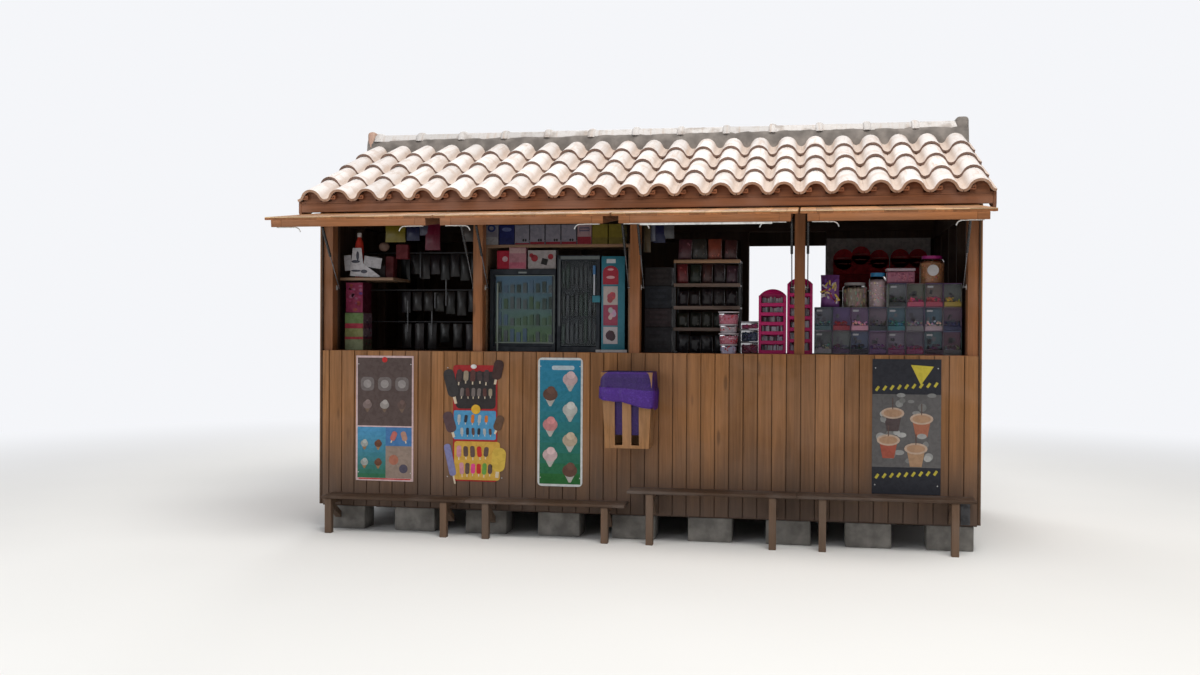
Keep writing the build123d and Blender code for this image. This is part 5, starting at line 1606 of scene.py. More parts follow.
                # Each bottle has a thin pale strip: a painted highlight.
                add_panel(
                    goods, x - 0.003, x + 0.001, low + 0.03, high - 0.02, front + 0.013, (0.1, 0.11, 0.11)
                )
        high = top + 0.022
        add_panel(goods, left - 0.012, right + 0.02, top, high, front - 0.0008, (0.12, 0.14, 0.14), 0.003)
        add_panel(goods, left - 0.014, left, bottom + 0.14, high, front - 0.0008, (0.07, 0.08, 0.085), 0.003)
        for left, right, bottom, top, near, far, tint in (
            (-0.312, -0.301, 1.69, 1.86, 0.014, 0.004, (0.52, 0.56, 0.62)),
            (-0.316, -0.296, 1.835, 1.9, 0.015, 0.003, (0.04, 0.14, 0.3)),
            (-0.32, -0.262, 1.64, 1.688, 0.015, 0.003, (0.02, 0.16, 0.21)),
        ):
            add_block(goods, (left, front - near, bottom), (right, front - far, top), tint, 0.003)

    def dispenser(self, goods, draw, front):
        """Turquoise, with a domed red sign over pictures of ices."""
        left, right, bottom, top = -0.2575, -0.0875, COUNTER, 1.9664
        turquoise, crimson = (0.025, 0.165, 0.225), (0.3, 0.008, 0.025)
        add_block(goods, (left, front - 0.002, bottom), (right, front + 0.028, top), turquoise, 0.006, 2)
        add_panel(
            goods, left + 0.038, left + 0.102, top - 0.05, top - 0.022, front - 0.003, (0.5, 0.52, 0.54)
        )
        left, middle, right = left + 0.012, left + 0.067, left + 0.122
        add_panel(goods, left, right, top - 0.2, top - 0.115, front - 0.004, crimson)
        add_disc(goods, (middle, front - 0.004, top - 0.115), 0.055, 0.0014, crimson, 0.85)
        for z, wide in ((top - 0.095, 0.022), (top - 0.15, 0.03)):
            add_disc(goods, (middle, front - 0.005, z), wide, 0.0014, (0.55, 0.3, 0.32), 0.35, 14)
        for low, high, tint, spot in (
            (0.335, 0.465, (0.42, 0.36, 0.34), (0.4, 0.06, 0.07)),
            (0.19, 0.335, (0.28, 0.04, 0.08), (0.46, 0.38, 0.38)),
            (0.06, 0.18, (0.44, 0.4, 0.42), (0.045, 0.02, 0.022)),
        ):
            low, high = bottom + low, bottom + high
            add_panel(goods, left + 0.004, right - 0.004, low, high, front - 0.004, tint)
            for i in range(5):
                x, z = draw.uniform(left + 0.03, right - 0.03), draw.uniform(low + 0.03, high - 0.03)
                size, tint = draw.uniform(0.012, 0.026), varied(draw, spot, 0.7, 1.2)
                add_disc(goods, (x, front - 0.005 - 0.0001 * i, z), size, 0.001, tint, 1.2, 12)
        add_panel(goods, -0.294, -0.071, 1.288, 1.306, front - 0.012, (0.5, 0.48, 0.48), 0.01)

    def left_shelf_goods(self):
        """Bottle, leaning price cards and packs on the left shelf."""
        bm = start_mesh()
        shelf, front = 1.8204, SHELF_FRONT
        x, y = -2.088, front + 0.05
        bottle = (
            (0.0, 0.0),
            (0.9, 0.0),
            (1.0, 0.04),
            (1.0, 0.7),
            (0.8, 0.8),
            (0.42, 0.88),
            (0.4, 0.92),
            (0.0, 0.92),
        )
        add_jar(bm, (x, y, shelf), 0.032, 0.335, bottle, (0.5, 0.035, 0.02), 14)
        add_rod(bm, (x, y, shelf + 0.3), (x, y, shelf + 0.332), 0.016, (0.55, 0.5, 0.48), 12)
        pale, ink = (0.52, 0.5, 0.52), (0.06, 0.06, 0.08)
        card = (
            (-2.14, 0.012), (-2.118, 0.218), (-2.052, 0.218), (-2.038, 0.104), (-1.904, 0.008), (-1.93, 0.002)
        )
        add_prism(bm, [(x, front - 0.004, shelf + z) for x, z in card], (0, 0.0015, 0), pale)
        for x, z, half, rise, lean in (
            (-1.966, 0.112, 0.068, 0.039, 0.16), (-2.156, 0.108, 0.028, 0.056, -0.08)
        ):
            place = leaning((x, front, shelf + z), lean)
            add_block(bm, (-half, 0, -rise), (half, 0.0015, rise), scaled(pale, 0.8), 0, matrix=place)
        for x, z, width, height in (
            (-2.095, 0.118, 0.034, 0.012),
            (-2.08, 0.16, 0.012, 0.034),
            (-2.092, 0.05, 0.04, 0.008),
            (-2.03, 0.045, 0.026, 0.014),
        ):
            add_disc(bm, (x, front - 0.0046, shelf + z), width, 0.0008, ink, height / width, 10)
        draw = random.Random(12)
        x = -2.02
        while x < -1.84:
            width, height = draw.uniform(0.045, 0.08), draw.uniform(0.09, 0.2)
            tint = draw.choice(((0.1, 0.07, 0.05), (0.12, 0.1, 0.03), (0.07, 0.06, 0.06), (0.1, 0.01, 0.012)))
            add_block(bm, (x, front + 0.09, shelf), (x + width, front + 0.17, shelf + height), tint, 0.003)
            x += width + 0.004
        add_ball(bm, (-1.925, front + 0.13, shelf + 0.235), (0.085, 0.06, 0.07), (0.2, 0.12, 0.09), 12, 8)
        add_block(
            bm, (-1.817, front + 0.08, 1.96), (-1.722, front + 0.13, 2.068), (0.11, 0.008, 0.012), 0.004
        )
        finish_piece("left_shelf_goods", bm, "carton_print")

    def high_shelf_goods(self):
        """Row of printed boxes on the high shelf, and a second row under it."""
        bm = start_mesh()
        shelf, front = 2.0524, -0.948
        pale, crimson = (0.19, 0.178, 0.215), (0.2, 0.008, 0.02)
        olive, dim = (0.17, 0.13, 0.01), (0.12, 0.088, 0.01)
        for left, right, tint, low_tint, low in (
            (-1.106, -1.01, pale, (0.28, 0.27, 0.28), 0.055),
            (-1.004, -0.893, (0.006, 0.01, 0.09), (0.005, 0.008, 0.07), 0.05),
            (-0.889, -0.78, pale, crimson, 0.01),
            (-0.777, -0.668, pale, crimson, 0.018),
            (-0.664, -0.552, pale, crimson, 0.018),
            (-0.549, -0.438, pale, crimson, 0.018),
            (-0.433, -0.33, (0.3, 0.19, 0.2), crimson, 0.052),
            (-0.325, -0.214, olive, dim, 0.045),
            (-0.207, -0.1, olive, dim, 0.045),
        ):
            add_block(bm, (left, front, shelf), (right, front + 0.14, shelf + 0.14), tint)
            add_panel(bm, left + 0.002, right - 0.002, shelf + 0.001, shelf + low, front, low_tint)
            if tint == pale and low < 0.05:
                low, high = shelf + 0.03, shelf + 0.14
                add_panel(bm, right - 0.003, right + 0.003, low, high, front - 0.0006, (0.02, 0.02, 0.025))
                for x in (right - 0.028, right - 0.045):
                    add_disc(bm, (x, front - 0.0008, low), 0.008, 0.001, (0.02, 0.02, 0.02), 1.4, 5)
        add_disc(bm, (-1.06, front - 0.0006, shelf + 0.118), 0.03, 0.0012, (0.015, 0.03, 0.12), 0.9)
        add_disc(bm, (-1.06, front - 0.0012, shelf + 0.118), 0.016, 0.0014, pale, 0.9)
        add_disc(bm, (-0.948, front - 0.0008, shelf + 0.108), 0.036, 0.0012, (0.1, 0.12, 0.26), 0.4)
        add_panel(bm, -0.418, -0.345, shelf + 0.09, shelf + 0.118, front - 0.0008, (0.07, 0.07, 0.12))
        add_panel(bm, -0.414, -0.349, shelf + 0.098, shelf + 0.11, front - 0.0014, (0.25, 0.16, 0.18))
        for left, right, face, top, tint in (
            (-1.022, -0.926, 0.01, 2.01, (0.38, 0.012, 0.035)),
            (-0.93, -0.805, 0.0, 2.032, (0.36, 0.16, 0.19)),
            (-0.794, -0.59, 0.01, 2.012, (0.34, 0.31, 0.31)),
        ):
            add_block(bm, (left, front + face, 1.8784), (right, front + 0.1, top), tint)
        add_panel(bm, -0.926, -0.809, 1.99, 2.026, front - 0.0006, (0.42, 0.27, 0.27))
        add_panel(bm, -0.926, -0.809, 1.884, 1.925, front - 0.0006, (0.4, 0.1, 0.15))
        face = front + 0.01
        add_disc(bm, (-0.962, face - 0.0008, 1.95), 0.02, 0.001, (0.55, 0.35, 0.38), 1.0, 14)
        for x, z, size in ((-0.745, 1.955, 0.026), (-0.768, 1.975, 0.016), (-0.627, 1.965, 0.021)):
            add_disc(bm, (x, face - 0.0008, z), size, 0.001, (0.28, 0.02, 0.03), 1.0, 9)
        place = leaning((-0.672, face - 0.001, 1.93), 0.25)
        add_block(bm, (-0.022, -0.0006, -0.022), (0.022, 0.001, 0.022), (0.012, 0.01, 0.01), 0, matrix=place)
        finish_piece("high_shelf_boxes", bm, "carton_print")

    def hanging_packs(self):
        """Cards and bags that hang from rods under the head beam, with painted shade on the ones further in.
        """
        bm = start_mesh()
        for left, right, y, z in (
            (-2.19, -1.2, -0.93, 2.215),
            (0.02, 1.05, -0.93, 2.215),
            (1.2, 2.18, -0.93, 2.215),
            (-2.19, -1.14, -0.62, 2.02),
            (-2.19, -1.14, -0.62, 1.74),
            (-2.19, -1.14, -0.62, 1.5),
        ):
            add_rod(bm, (left, y, z), (right, y, z), 0.005, (0.05, 0.05, 0.055), 8)
        for x, width, height, tint in (
            (-1.79, 0.155, 0.13, (0.17, 0.13, 0.01)),
            (-1.655, 0.1, 0.12, (0.008, 0.01, 0.045)),
            (-1.568, 0.075, 0.082, (0.06, 0.06, 0.09)),
            (-1.506, 0.115, 0.19, (0.11, 0.004, 0.02)),
            (-1.232, 0.1, 0.13, (0.055, 0.045, 0.04)),
            (0.065, 0.05, 0.215, (0.1, 0.07, 0.035)),
            (0.11, 0.04, 0.14, (0.15, 0.16, 0.21)),
            (0.15, 0.085, 0.15, (0.006, 0.008, 0.05)),
            (0.215, 0.08, 0.12, (0.08, 0.08, 0.085)),
        ):
            add_pouch(bm, (x - width / 2, -0.946, 2.208 - height), (x + width / 2, -0.914, 2.208), tint)
        draw = random.Random(37)
        # The packs further in are nearly black: painted shade.
        for top, count in ((2.012, 9), (1.732, 8), (1.492, 7)):
            for i in range(count):
                x = -1.86 + (i + 0.5) * 0.7 / count
                shade = draw.uniform(0.003, 0.016)
                tint = (shade * draw.uniform(0.9, 1.5), shade, shade * draw.uniform(0.9, 1.3))
                high = top - draw.uniform(0, 0.01)
                add_pouch(
                    bm, (x - 0.036, -0.64, high - draw.uniform(0.14, 0.2)), (x + 0.036, -0.606, high), tint
                )
        for x, low, high in (
            (-1.702, 1.83, 2.03),
            (-1.586, 1.6, 1.72),
            (-1.8, 1.42, 1.66),
            (-1.61, 1.4, 1.58),
            (-1.5, 1.62, 1.82),
        ):
            add_block(bm, (x, -0.65, low), (x + 0.01, -0.646, high), (0.075, 0.075, 0.08), 0.001)
        finish_piece("hanging_packs", bm, "wrapper_print")


class KIOSK_OT_snacks(bpy.types.Operator):
    """Fills the snack rack, the candy racks and the tubs behind the third opening"""

    bl_idname = "kiosk.snacks"
    bl_label = "Snack and candy racks"

    # Shelves of the snack rack: rise from the sill, height of the packs and their colours
    shelves = (
        (0.0005, 0.135, ((0.01, 0.009, 0.011), (0.006, 0.006, 0.008)) * 3),
        (0.1715, 0.125, ((0.01, 0.01, 0.006), (0.007, 0.008, 0.005)) * 3),
        (0.3225, 0.13, ((0.009, 0.005, 0.007), (0.008, 0.004, 0.005)) * 3),
        (
            0.4805,
            0.148,
            (
                (0.13, 0.016, 0.018),
                (0.012, 0.016, 0.01),
                (0.045, 0.014, 0.012),
                (0.022, 0.012, 0.014),
                (0.05, 0.022, 0.032),
            ),
        ),
        (
            0.6465,
            0.165,
            ((0.075, 0.022, 0.03), (0.026, 0.022, 0.018), (0.19, 0.04, 0.022), (0.055, 0.016, 0.016)),
        ),
    )

    def execute(self, context):
        bm = refined_copy("snack_rack", 0.001, tint=(0.02, 0.02, 0.022))
        finish_piece("snack_rack_frame", bm, "moulded_plastic", replaced=["snack_rack"])
        self.rack_edges()
        self.bags()
        self.candy_racks()
        self.stacked_tubs()
        return {"FINISHED"}

    def rack_edges(self):
        """Pale timber lips along the rack's shelves, dull ones below."""
        bm = start_mesh()
        draw = random.Random(14)
        for height, slot in ((0.171, 1), (0.322, 1), (0.48, 1), (0.646, 0)):
            low, high = (0.25, -0.9065, SILL + height - 0.017), (0.715, -0.9002, SILL + height + 0.008)
            add_block(bm, low, high, draw.random(), 0.0015, slot=slot)
        finish_piece("snack_rack_lips", bm, "rack_boards dull_rack_boards")

    def bags(self):
        """Pillow packs standing on each shelf of the rack."""
        bm = start_mesh()
        draw = random.Random(19)
        for base, height, tints in self.shelves:
            tints = tints[:5]
            width = 0.43 / len(tints)
            for i, tint in enumerate(tints):
                tall = height * draw.uniform(0.86, 1.0)
                place = leaning((0.268 + (i + 0.5) * width, -0.866, SILL + base), draw.uniform(-0.06, 0.06))
                half = width * draw.uniform(0.4, 0.47)
                add_pouch(bm, (-half, -0.024, 0.001), (half, 0.024, tall), tint, place)
                # Small pale patches on each pack: painted glints on the shiny wrappers.
                marks = start_mesh()
                for _ in range(7):
                    x, z = draw.uniform(-0.6, 0.6) * half, draw.uniform(0.22, 0.8) * tall
                    pale = [2.4 * c + 0.006 for c in tint]
                    glint = place @ leaning((x, -0.0215, z), draw.uniform(-1, 1))
                    add_block(marks, (-0.004, 0, -0.011), (0.004, 0.006, 0.011), pale, 0, matrix=glint)
                join_part(bm, marks)
        finish_piece("snack_bags", bm, "wrapper_print")

    def candy_racks(self):
        """Two pink moulded racks full of small sticks."""
        pink = (0.5, 0.006, 0.125)
        bm = refined_copy("candy_racks", 0.002, tint=pink)
        draw = random.Random(23)
        for left, right, height in ((0.842, 1.03, 0.45), (1.037, 1.21, 0.528)):
            width = right - left
            dome = SILL + height - width / 4
            pitch = (height - width / 4 - 0.01) / 6
            for side in (left, right - 0.018):
                add_block(bm, (side, -0.903, SILL + 0.001), (side + 0.018, -0.822, dome), pink)
            for row in range(6):
                bottom = SILL + 0.0106 + row * pitch
                low, high = (left + 0.004, -0.901, bottom - 0.01), (right - 0.004, -0.896, bottom + 0.014)
                add_block(bm, low, high, pink, 0.001)
                sticks = start_mesh()
                for i in range(11):
                    x = left + 0.022 + (i + 0.5) * (width - 0.044) / 11
                    shade = draw.choice((0.3, 0.42, 0.2, 0.05, 0.36))
                    tint = (shade, 0.92 * shade, shade * draw.uniform(0.95, 1.15))
                    tip = (x + draw.uniform(-0.004, 0.004), -0.872, bottom + pitch * draw.uniform(0.6, 0.84))
                    add_rod(sticks, (x, -0.885, bottom), tip, 0.007, tint, 6)
                join_part(bm, sticks)
        finish_piece("pink_racks", bm, "moulded_plastic", replaced=["candy_racks"])

    def stacked_tubs(self):
        """Clear tubs of sweets: a square stack beside the snack rack and a round stack before it."""
        clear, sweets = start_mesh(), start_mesh()
        draw = random.Random(27)
        self.square_stack(clear, sweets, draw)
        self.round_stack(clear, sweets, draw)
        finish_piece("stacked_tubs_clear", clear, "clear_plastic")
        finish_piece("stacked_tubs_sweets", sweets, "moulded_plastic")

    def square_stack(self, clear, sweets, draw):
        """Three square tubs with lids."""
        left, right, low = 0.7195, 0.8375, SILL + 0.0005
        for tint, height in (
            ((0.15, 0.025, 0.055), 0.084),
            ((0.025, 0.035, 0.075), 0.087),
            ((0.26, 0.045, 0.1), 0.055),
        ):
            high = low + height
            lid = (left - 0.001, -0.897, high - 0.01), (right + 0.001, -0.778, high - 0.002)
            add_block(clear, (left, -0.895, low), (right, -0.78, high - 0.01), 0.5, 0.006, 2)
            add_block(
                sweets, (left + 0.004, -0.89, low + 0.003), (right - 0.004, -0.785, high - 0.026), tint, 0.004
            )
            add_block(sweets, *lid, (0.26, 0.24, 0.27))
            for _ in range(22):
                x, z = draw.uniform(left + 0.012, right - 0.012), draw.uniform(low + 0.012, high - 0.024)
                shade = varied(draw, tint, 0.7, 1.6, 0.01)
                add_ball(sweets, (x, -0.889, z), draw.uniform(0.012, 0.018), shade)
            low = high

    def round_stack(self, clear, sweets, draw):
        """Four round tubs, flattened so that the closed flap clears them."""
        x, y, low = 0.64, -0.969, SILL + 0.0005
        stack, sleeve = start_mesh(), start_mesh()
        cup = ((0.0, 0.0), (0.84, 0.0), (0.9, 0.05), (1.0, 0.86))
        for tint, height, radius in (
            ((0.42, 0.4, 0.52), 0.066, 0.058),
            ((0.42, 0.13, 0.17), 0.076, 0.066),
            ((0.4, 0.36, 0.38), 0.062, 0.062),
            ((0.48, 0.15, 0.2), 0.087, 0.07),
        ):
            lid = (x, y, low + height - 0.01), (x, y, low + height - 0.002)
            add_jar(
                stack, (x, y, low), radius * 0.93, height - 0.01, (*cup[:3], (0.97, 0.82), (0.0, 0.84)), tint
            )
            add_jar(sleeve, (x, y, low), radius, height - 0.004, (*cup, (0.97, 0.87), (0.0, 0.87)), 0.5)
            add_rod(stack, *lid, radius * 1.04, (0.5, 0.44, 0.47), 20)
            for _ in range(30):
                angle, share = draw.uniform(-0.9 * pi, 0.0), draw.uniform(0.15, 0.75)
                reach = radius * (0.8 + 0.1 * share)
                place = (x + reach * cos(angle), y + reach * sin(angle), low + share * height)
                size = draw.uniform(0.01, 0.015)
                add_ball(stack, place, size, draw.choice((tint, RED, (0.6, 0.42, 0.45))))
            low += height
        for whole, part in ((sweets, stack), (clear, sleeve)):
            for vert in part.verts:
                vert.co.y = y + 0.84 * (vert.co.y - y)
            join_part(whole, part)


class KIOSK_OT_sweets(bpy.types.Operator):
    """Fills the sweet drawers, jars and boards behind the fourth opening"""

    bl_idname = "kiosk.sweets"
    bl_label = "Sweet drawers and jars"

    # Rows of drawers: left end, foot, height and the sweets' colours
    rows = (
        (
            1.222,
            COUNTER,
            0.1596,
            (
                (0.26, 0.25, 0.26),
                (0.07, 0.04, 0.08),
                (0.02, 0.018, 0.03),
                (0.1, 0.045, 0.12),
                (0.16, 0.04, 0.1),
                (0.2, 0.04, 0.1),
                (0.035, 0.015, 0.03),
                (0.1, 0.1, 0.1),
            ),
        ),
        (
            1.222,
            1.4474,
            0.1626,
            (
                (0.08, 0.15, 0.16),
                (0.26, 0.02, 0.03),
                (0.55, 0.26, 0.32),
                (0.035, 0.045, 0.05),
                (0.03, 0.14, 0.16),
                (0.2, 0.19, 0.19),
                (0.42, 0.32, 0.34),
                (0.03, 0.035, 0.09),
            ),
        ),
        (
            1.716,
            1.6104,
            0.1626,
            ((0.025, 0.03, 0.028), (0.42, 0.07, 0.12), (0.36, 0.06, 0.09), (0.42, 0.3, 0.04)),
        ),
    )
    end, back = 2.198, -0.64
    smoke = (0.135, 0.122, 0.155)

    def execute(self, context):
        self.drawers()
        self.jars()
        self.wall_board()
        return {"FINISHED"}

    def drawers(self):
        """Clear drawers in three rows."""
        shell, sweets, clear = start_mesh(), start_mesh(), start_mesh()
        draw = random.Random(29)
        for start, bottom, height, tints in self.rows:
            width = (self.end - start) / len(tints)
            for i, tint in enumerate(tints):
                left, right = start + i * width + 0.001, start + (i + 1) * width - 0.001
                edges = left, right, bottom, bottom + height
                add_panel(
                    clear,
                    left + 0.003,
                    right - 0.003,
                    bottom + 0.005,
                    bottom + height - 0.006,
                    RACK_FRONT + 0.0011,
                    0.5,
                    0.0019,
                )
                self.drawer_shell(shell, draw, *edges, i % 2 == 0)
                self.drawer_sweets(sweets, draw, left, right, bottom, scaled(tint, 1.4))
        finish_piece("drawer_shells", shell, "moulded_plastic", replaced=["drawer_units"])
        finish_piece("drawer_fronts", clear, "clear_plastic")
        finish_piece("drawer_sweets", sweets, "moulded_plastic")

    def drawer_shell(self, bm, draw, left, right, bottom, top, labelled):
        """Smoky walls, a plain label where there is one, and slanted patches behind the front that are
        painted sheen on the clear drawer front.
        """
        front, back = RACK_FRONT, self.back
        for low, high in (
            ((left, front, bottom), (left + 0.002, back, top)),
            ((right - 0.002, front, bottom), (right, back, top)),
            ((left, front, bottom), (right, back, bottom + 0.004)),
            ((left, front, top - 0.004), (right, back, top)),
            ((left, back - 0.006, bottom), (right, back, top)),
            ((left + 0.002, front + 0.045, bottom + 0.04), (right - 0.002, front + 0.047, top - 0.004)),
        ):
            add_block(bm, low, high, varied(draw, self.smoke, 0.5, 1.3), 0)
        if labelled:
            low, high = (left + 0.014, front - 0.001, top - 0.03), (left + 0.052, front + 0.0004, top - 0.018)
            add_block(bm, low, high, (0.46, 0.46, 0.48), 0)
        # Three slanted grey patches per drawer: painted sheen on the clear front.
        for _ in range(3):
            shade = draw.choice((0.02, 0.05, 0.09, 0.14))
            x, z = draw.uniform(left + 0.02, right - 0.05), draw.uniform(bottom + 0.06, top - 0.05)
            half, rise = draw.uniform(0.012, 0.036) / 2, draw.uniform(0.01, 0.04) / 2
            place = leaning((x, -0.856, z), 0.6 - 40 * half)
            add_block(
                bm, (-half, 0, -rise), (half, 0.001, rise), (shade, shade, 1.1 * shade), 0, matrix=place
            )

    def drawer_sweets(self, bm, draw, left, right, bottom, tint):
        """A heap of sweets."""
        low = (left + 0.003, RACK_FRONT + 0.006, bottom + 0.0045)
        high = (right - 0.003, RACK_FRONT + 0.044, bottom + 0.038)
        add_block(bm, low, high, scaled(tint, 0.7), 0.003)
        heap = start_mesh()
        for _ in range(52):
            rise, size = draw.random() ** 1.6, draw.uniform(0.011, 0.019)
            x = draw.uniform(left + 0.012, right - 0.012)
            y, z = RACK_FRONT + 0.016 + 0.018 * rise, bottom + 0.014 + 0.055 * rise
            shade = [min(1.0, c * draw.uniform(0.6, 1.6) + draw.choice((0, 0, 0.05))) for c in tint]
            add_ball(heap, (x, y, z), (size, size, size * 0.8), shade)
        join_part(bm, heap)

    def jars(self):
        """Round jars and a flat tub standing on the drawers, with a bright bag at the left."""
        clear, goods = start_mesh(), start_mesh()
        draw = random.Random(33)
        body = ((0.0, 0.0), (0.92, 0.0), (1.0, 0.03), (1.0, 0.78), (0.9, 0.86), (0.72, 0.9), (0.0, 0.9))
        fill = ((0.0, 0.01), (0.86, 0.01), (0.92, 0.05), (0.92, 0.74), (0.7, 0.8), (0.0, 0.8))
        second, third = SILL + 0.3238, SILL + 0.4868
        for x, radius, height, base, tint, lid, slim in (
            (1.498, 0.084, 0.17, second, (0.3, 0.24, 0.18), (0.24, 0.22, 0.22), 2.6),
            (1.65, 0.059, 0.236, second, (0.56, 0.42, 0.42), (0.02, 0.17, 0.34), 1.0),
            (2.01, 0.082, 0.188, third, (0.52, 0.24, 0.11), (0.3, 0.015, 0.15), 1.0),
        ):
            y = RACK_FRONT + radius + 0.021
            add_jar(clear, (x, y, base), radius, height, body, 0.5, 24)
            add_jar(goods, (x, y, base), radius, height, fill, scaled(tint, 0.75), 24)
            add_rod(goods, (x, y, base + 0.89 * height), (x, y, base + height), radius * 0.84, lid, 24)
            heap = start_mesh()
            for _ in range(110):
                angle, rise = draw.uniform(0, 2 * pi), 0.07 + 0.68 * draw.random()
                place = (x + 0.9 * radius * cos(angle), y + 0.9 * radius * sin(angle), base + rise * height)
                shade, size = varied(draw, tint, 0.7, 1.5), draw.uniform(0.01, 0.015)
                add_ball(heap, place, (size, size, size * slim), shade)
            join_part(goods, heap)
        add_disc(goods, (2.01, RACK_FRONT + 0.0195, third + 0.088), 0.038, 0.002, (0.55, 0.53, 0.54))
        self.bright_bag(goods, draw, second)
        self.flat_tub(goods, draw, third)
        finish_piece("sweet_jars_clear", clear, "clear_plastic", replaced=["sweet_tubs"])
        finish_piece("sweet_jars_goods", goods, "moulded_plastic")

    def bright_bag(self, bm, draw, base):
        """A purple bag with mixed sweets that show through."""
        add_pouch(bm, (1.264, -0.895, base), (1.39, -0.815, base + 0.222), (0.16, 0.05, 0.2))
        tints = (
            (0.55, 0.38, 0.05), (0.6, 0.42, 0.22), (0.3, 0.02, 0.08), (0.5, 0.45, 0.48), (0.14, 0.04, 0.26)
        )
        for _ in range(26):
            tint = draw.choice(tints)
            place = (draw.uniform(1.278, 1.376), -0.8955, base + draw.uniform(0.02, 0.185))
            matrix = leaning(place, draw.uniform(-1.4, 1.4))
            add_block(bm, (-0.006, -0.001, -0.02), (0.006, 0.012, 0.02), tint, matrix=matrix)

    def flat_tub(self, bm, draw, base):
        """A rosy tub with its lid."""
        add_block(bm, (1.708, -0.88, base), (1.892, -0.755, base + 0.082), (0.3, 0.11, 0.16), 0.012, 3)
        for _ in range(40):
            place = (draw.uniform(1.722, 1.878), -0.8785, base + draw.uniform(0.012, 0.07))
            size = draw.uniform(0.01, 0.018)
            add_ball(bm, place, size, draw.choice(((0.4, 0.14, 0.19), (0.24, 0.07, 0.12))))
        add_block(
            bm, (1.704, -0.884, base + 0.084), (1.896, -0.751, base + 0.104), (0.36, 0.27, 0.31), 0.006, 2
        )

    def wall_board(self):
        """Pale board on the back wall with a row of tall red dome-topped cards."""
        dress("back_board", "pale_panel")
        low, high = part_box("back_board")
        bm = start_mesh()
        cards = (
            (0.17, 0.0, 0.088),
            (0.335, 0.032, 0.078),
            (0.51, 0.0, 0.08),
            (0.71, 0.005, 0.08),
            (0.88, 0.008, 0.078),
        )
        for i, (share, lift, half) in enumerate(cards):
            x = low.x + share * (high.x - low.x)
            y = low.y - 0.003 - 0.0012 * (i % 2)
            top = low.z + 0.27 + lift
            tint = (1.0 - 0.06 * i, 0.04, 0.06)
            add_block(bm, (x - half, y, low.z + 0.01), (x + half, low.y + 0.001, top), scaled(tint, 0.6), 0)
            add_block(bm, (x - half, y - 0.0005, low.z + 0.15), (x + half, low.y + 0.001, top), tint, 0)
            add_disc(bm, (x, y + 0.0008, top), half, 0.0026, tint)
            for z, wide in ((top + 0.012, 0.8), (top - 0.035, 0.6)):
                add_disc(bm, (x, y - 0.0008, z), half * wide, 0.0008, (1.0, 0.22, 0.22), 0.1, 14)
        finish_piece("back_board_cards", bm, "carton_print")


# ---------------------------------------------------------------- studio


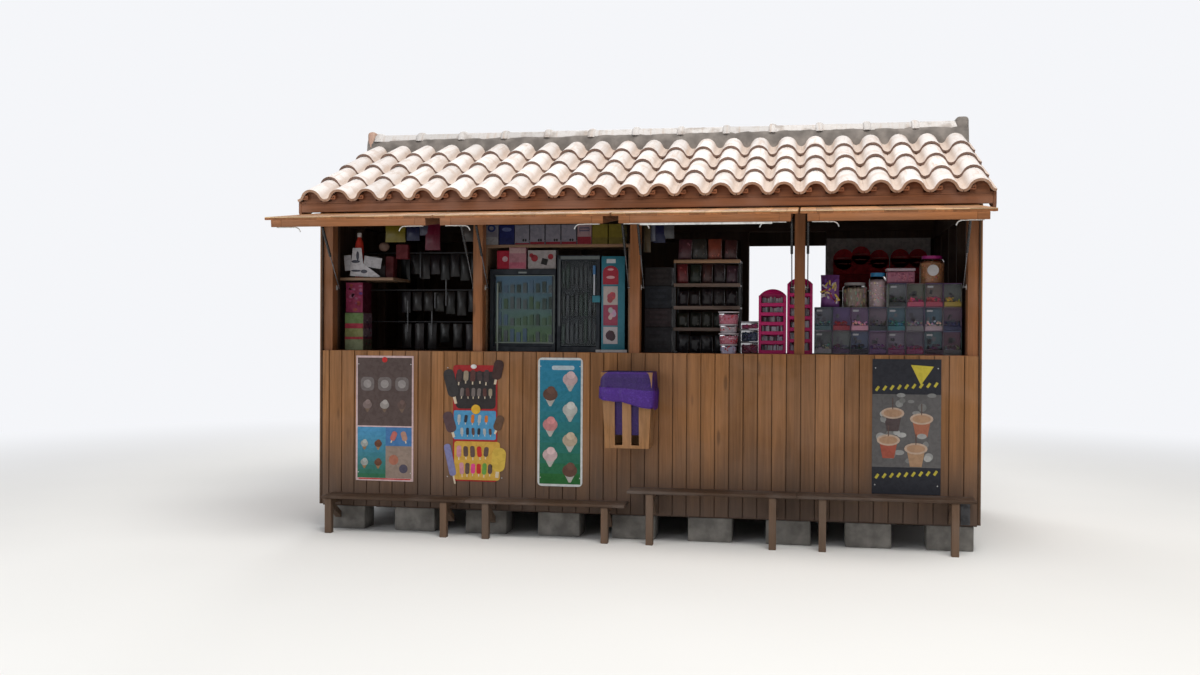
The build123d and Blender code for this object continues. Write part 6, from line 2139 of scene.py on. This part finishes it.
class KIOSK_OT_stage(bpy.types.Operator):
    """Sets the pale floor, the soft lamps, the world and the camera"""

    bl_idname = "kiosk.stage"
    bl_label = "Studio"

    sky = (0.96, 0.97, 1.0, 1)
    camera_place = (1.16904, -8.93941, 1.44794)

    def execute(self, context):
        self.floor(context.scene.kiosk_colours)
        self.world(context)
        self.lamps(context)
        self.camera(context)
        context.scene.view_settings.view_transform = "Standard"
        return {"FINISHED"}

    def floor(self, colours):
        """A wide floor that glows like the backdrop far from the kiosk, where the camera sees it."""
        bm = bmesh.new()
        bmesh.ops.create_circle(bm, cap_ends=True, radius=60.0, segments=96)
        mesh = bpy.data.meshes.new("studio_floor")
        bm.to_mesh(mesh)
        bm.free()
        floor = bpy.data.objects.new("studio_floor", mesh)
        bpy.context.scene.collection.objects.link(floor)
        recipe, shader, place, _ = start_material("studio_floor", 0.9, Specular_IOR_Level=0.1)
        shade = recipe.band(recipe.noise(place, 0.6, 2.0), 0.3, 0.7, 0.985, 1.0)
        recipe.feed(shader, {"Base Color": recipe.shade((*colours.floor, 1), shade)})
        distance = recipe.add("ShaderNodeVectorMath", {0: place}, operation="LENGTH").outputs["Value"]
        path = recipe.add("ShaderNodeLightPath").outputs
        far = recipe.math("MULTIPLY", recipe.band(distance, 4.5, 11.0), path["Is Camera Ray"])
        glow = recipe.add("ShaderNodeEmission", {"Color": self.sky, "Strength": 0.95})
        blend = recipe.add("ShaderNodeMixShader", {0: far, 1: shader.outputs[0], 2: glow.outputs[0]})
        outlet = next(node for node in recipe.tree.nodes if node.type == "OUTPUT_MATERIAL")
        recipe.feed(outlet, {"Surface": blend.outputs[0]})
        mesh.materials.append(bpy.data.materials["kiosk_studio_floor"])

    def world(self, context):
        """Soft light from all round, and a plain pale backdrop where it is seen directly."""
        world = bpy.data.worlds.new("studio_world")
        world.use_nodes = True
        world.node_tree.nodes.clear()
        recipe = Recipe(world.node_tree)
        path = recipe.add("ShaderNodeLightPath").outputs
        seen = recipe.math("MAXIMUM", path["Is Camera Ray"], path["Is Glossy Ray"])
        seen = recipe.math("MAXIMUM", seen, path["Is Transmission Ray"])
        dimmed = recipe.add("ShaderNodeMapRange", {"Value": seen, "To Min": 0.42, "To Max": 0.95})
        shader = recipe.add("ShaderNodeBackground", {"Color": self.sky, "Strength": dimmed.outputs[0]})
        recipe.add("ShaderNodeOutputWorld", {"Surface": shader.outputs[0]})
        context.scene.world = world

    def lamps(self, context):
        """A warm key lamp, a cool fill lamp and a lamp behind."""
        for name, place, target, power, tint in (
            ("key_lamp", (2.5, -5.5, 9.5), (0.0, -0.6, 1.6), 900, (1.0, 0.97, 0.92)),
            ("fill_lamp", (-6.0, -8.0, 3.0), (0.0, -0.5, 1.0), 160, (0.94, 0.97, 1.0)),
            ("back_lamp", (-2.0, 7.5, 7.0), (0.0, 0.5, 1.6), 420, (1.0, 0.99, 0.97)),
        ):
            lamp = bpy.data.lights.new(name, "AREA")
            lamp.energy = power
            lamp.size = 5.0
            lamp.color = tint
            holder = bpy.data.objects.new(name, lamp)
            aim = Vector(target) - Vector(place)
            turn = aim.to_track_quat("-Z", "Y").to_matrix().to_4x4()
            holder.matrix_world = Matrix.Translation(place) @ turn
            context.scene.collection.objects.link(holder)

    def camera(self, context):
        """Camera at the photograph's place: left of square-on, at standing height."""
        yaw, pitch, roll = 0.1776, -0.0069, 0.00537
        forward = Vector((-sin(yaw) * cos(pitch), cos(yaw) * cos(pitch), sin(pitch)))
        side = Vector((cos(yaw), sin(yaw), 0))
        up = side.cross(forward)
        turned = side * cos(roll) + up * sin(roll), up * cos(roll) - side * sin(roll), -forward
        lens = bpy.data.cameras.new("photo_camera")
        lens.lens = 34.5
        lens.sensor_width = 36.0
        lens.clip_end = 200.0
        camera = bpy.data.objects.new("photo_camera", lens)
        camera.matrix_world = Matrix.Translation(self.camera_place) @ Matrix(turned).transposed().to_4x4()
        context.scene.collection.objects.link(camera)
        context.scene.camera = camera


class KIOSK_PT_panel(bpy.types.Panel):
    """Lists the kiosk's sizes, colours and pieces"""

    bl_idname = "KIOSK_PT_panel"
    bl_label = "Street Kiosk"
    bl_space_type = "VIEW_3D"
    bl_region_type = "UI"
    bl_category = "Kiosk"

    def draw(self, context):
        layout = self.layout
        for settings in (context.scene.kiosk_sizes, context.scene.kiosk_colours):
            column = layout.column(align=True)
            for name in settings.__annotations__:
                column.prop(settings, name)
        for operator in OPERATORS:
            layout.operator(operator.bl_idname)


OPERATORS = (
    KIOSK_OT_materials,
    KIOSK_OT_wall_boards,
    KIOSK_OT_timber_frame,
    KIOSK_OT_tiles,
    KIOSK_OT_ridge,
    KIOSK_OT_flaps,
    KIOSK_OT_benches,
    KIOSK_OT_litter_bin,
    KIOSK_OT_posters,
    KIOSK_OT_shelves,
    KIOSK_OT_snacks,
    KIOSK_OT_sweets,
    KIOSK_OT_stage,
)
CLASSES = (KioskSizes, KioskColours, *OPERATORS, KIOSK_PT_panel)


def register():
    for cls in CLASSES:
        bpy.utils.register_class(cls)
    bpy.types.Scene.kiosk_sizes = PointerProperty(type=KioskSizes)
    bpy.types.Scene.kiosk_colours = PointerProperty(type=KioskColours)


def unregister():
    del bpy.types.Scene.kiosk_colours
    del bpy.types.Scene.kiosk_sizes
    for cls in reversed(CLASSES):
        bpy.utils.unregister_class(cls)


def main():
    register()
    for operator in OPERATORS:
        group, name = operator.bl_idname.split(".")
        getattr(getattr(bpy.ops, group), name)()


if __name__ == "__main__":
    main()
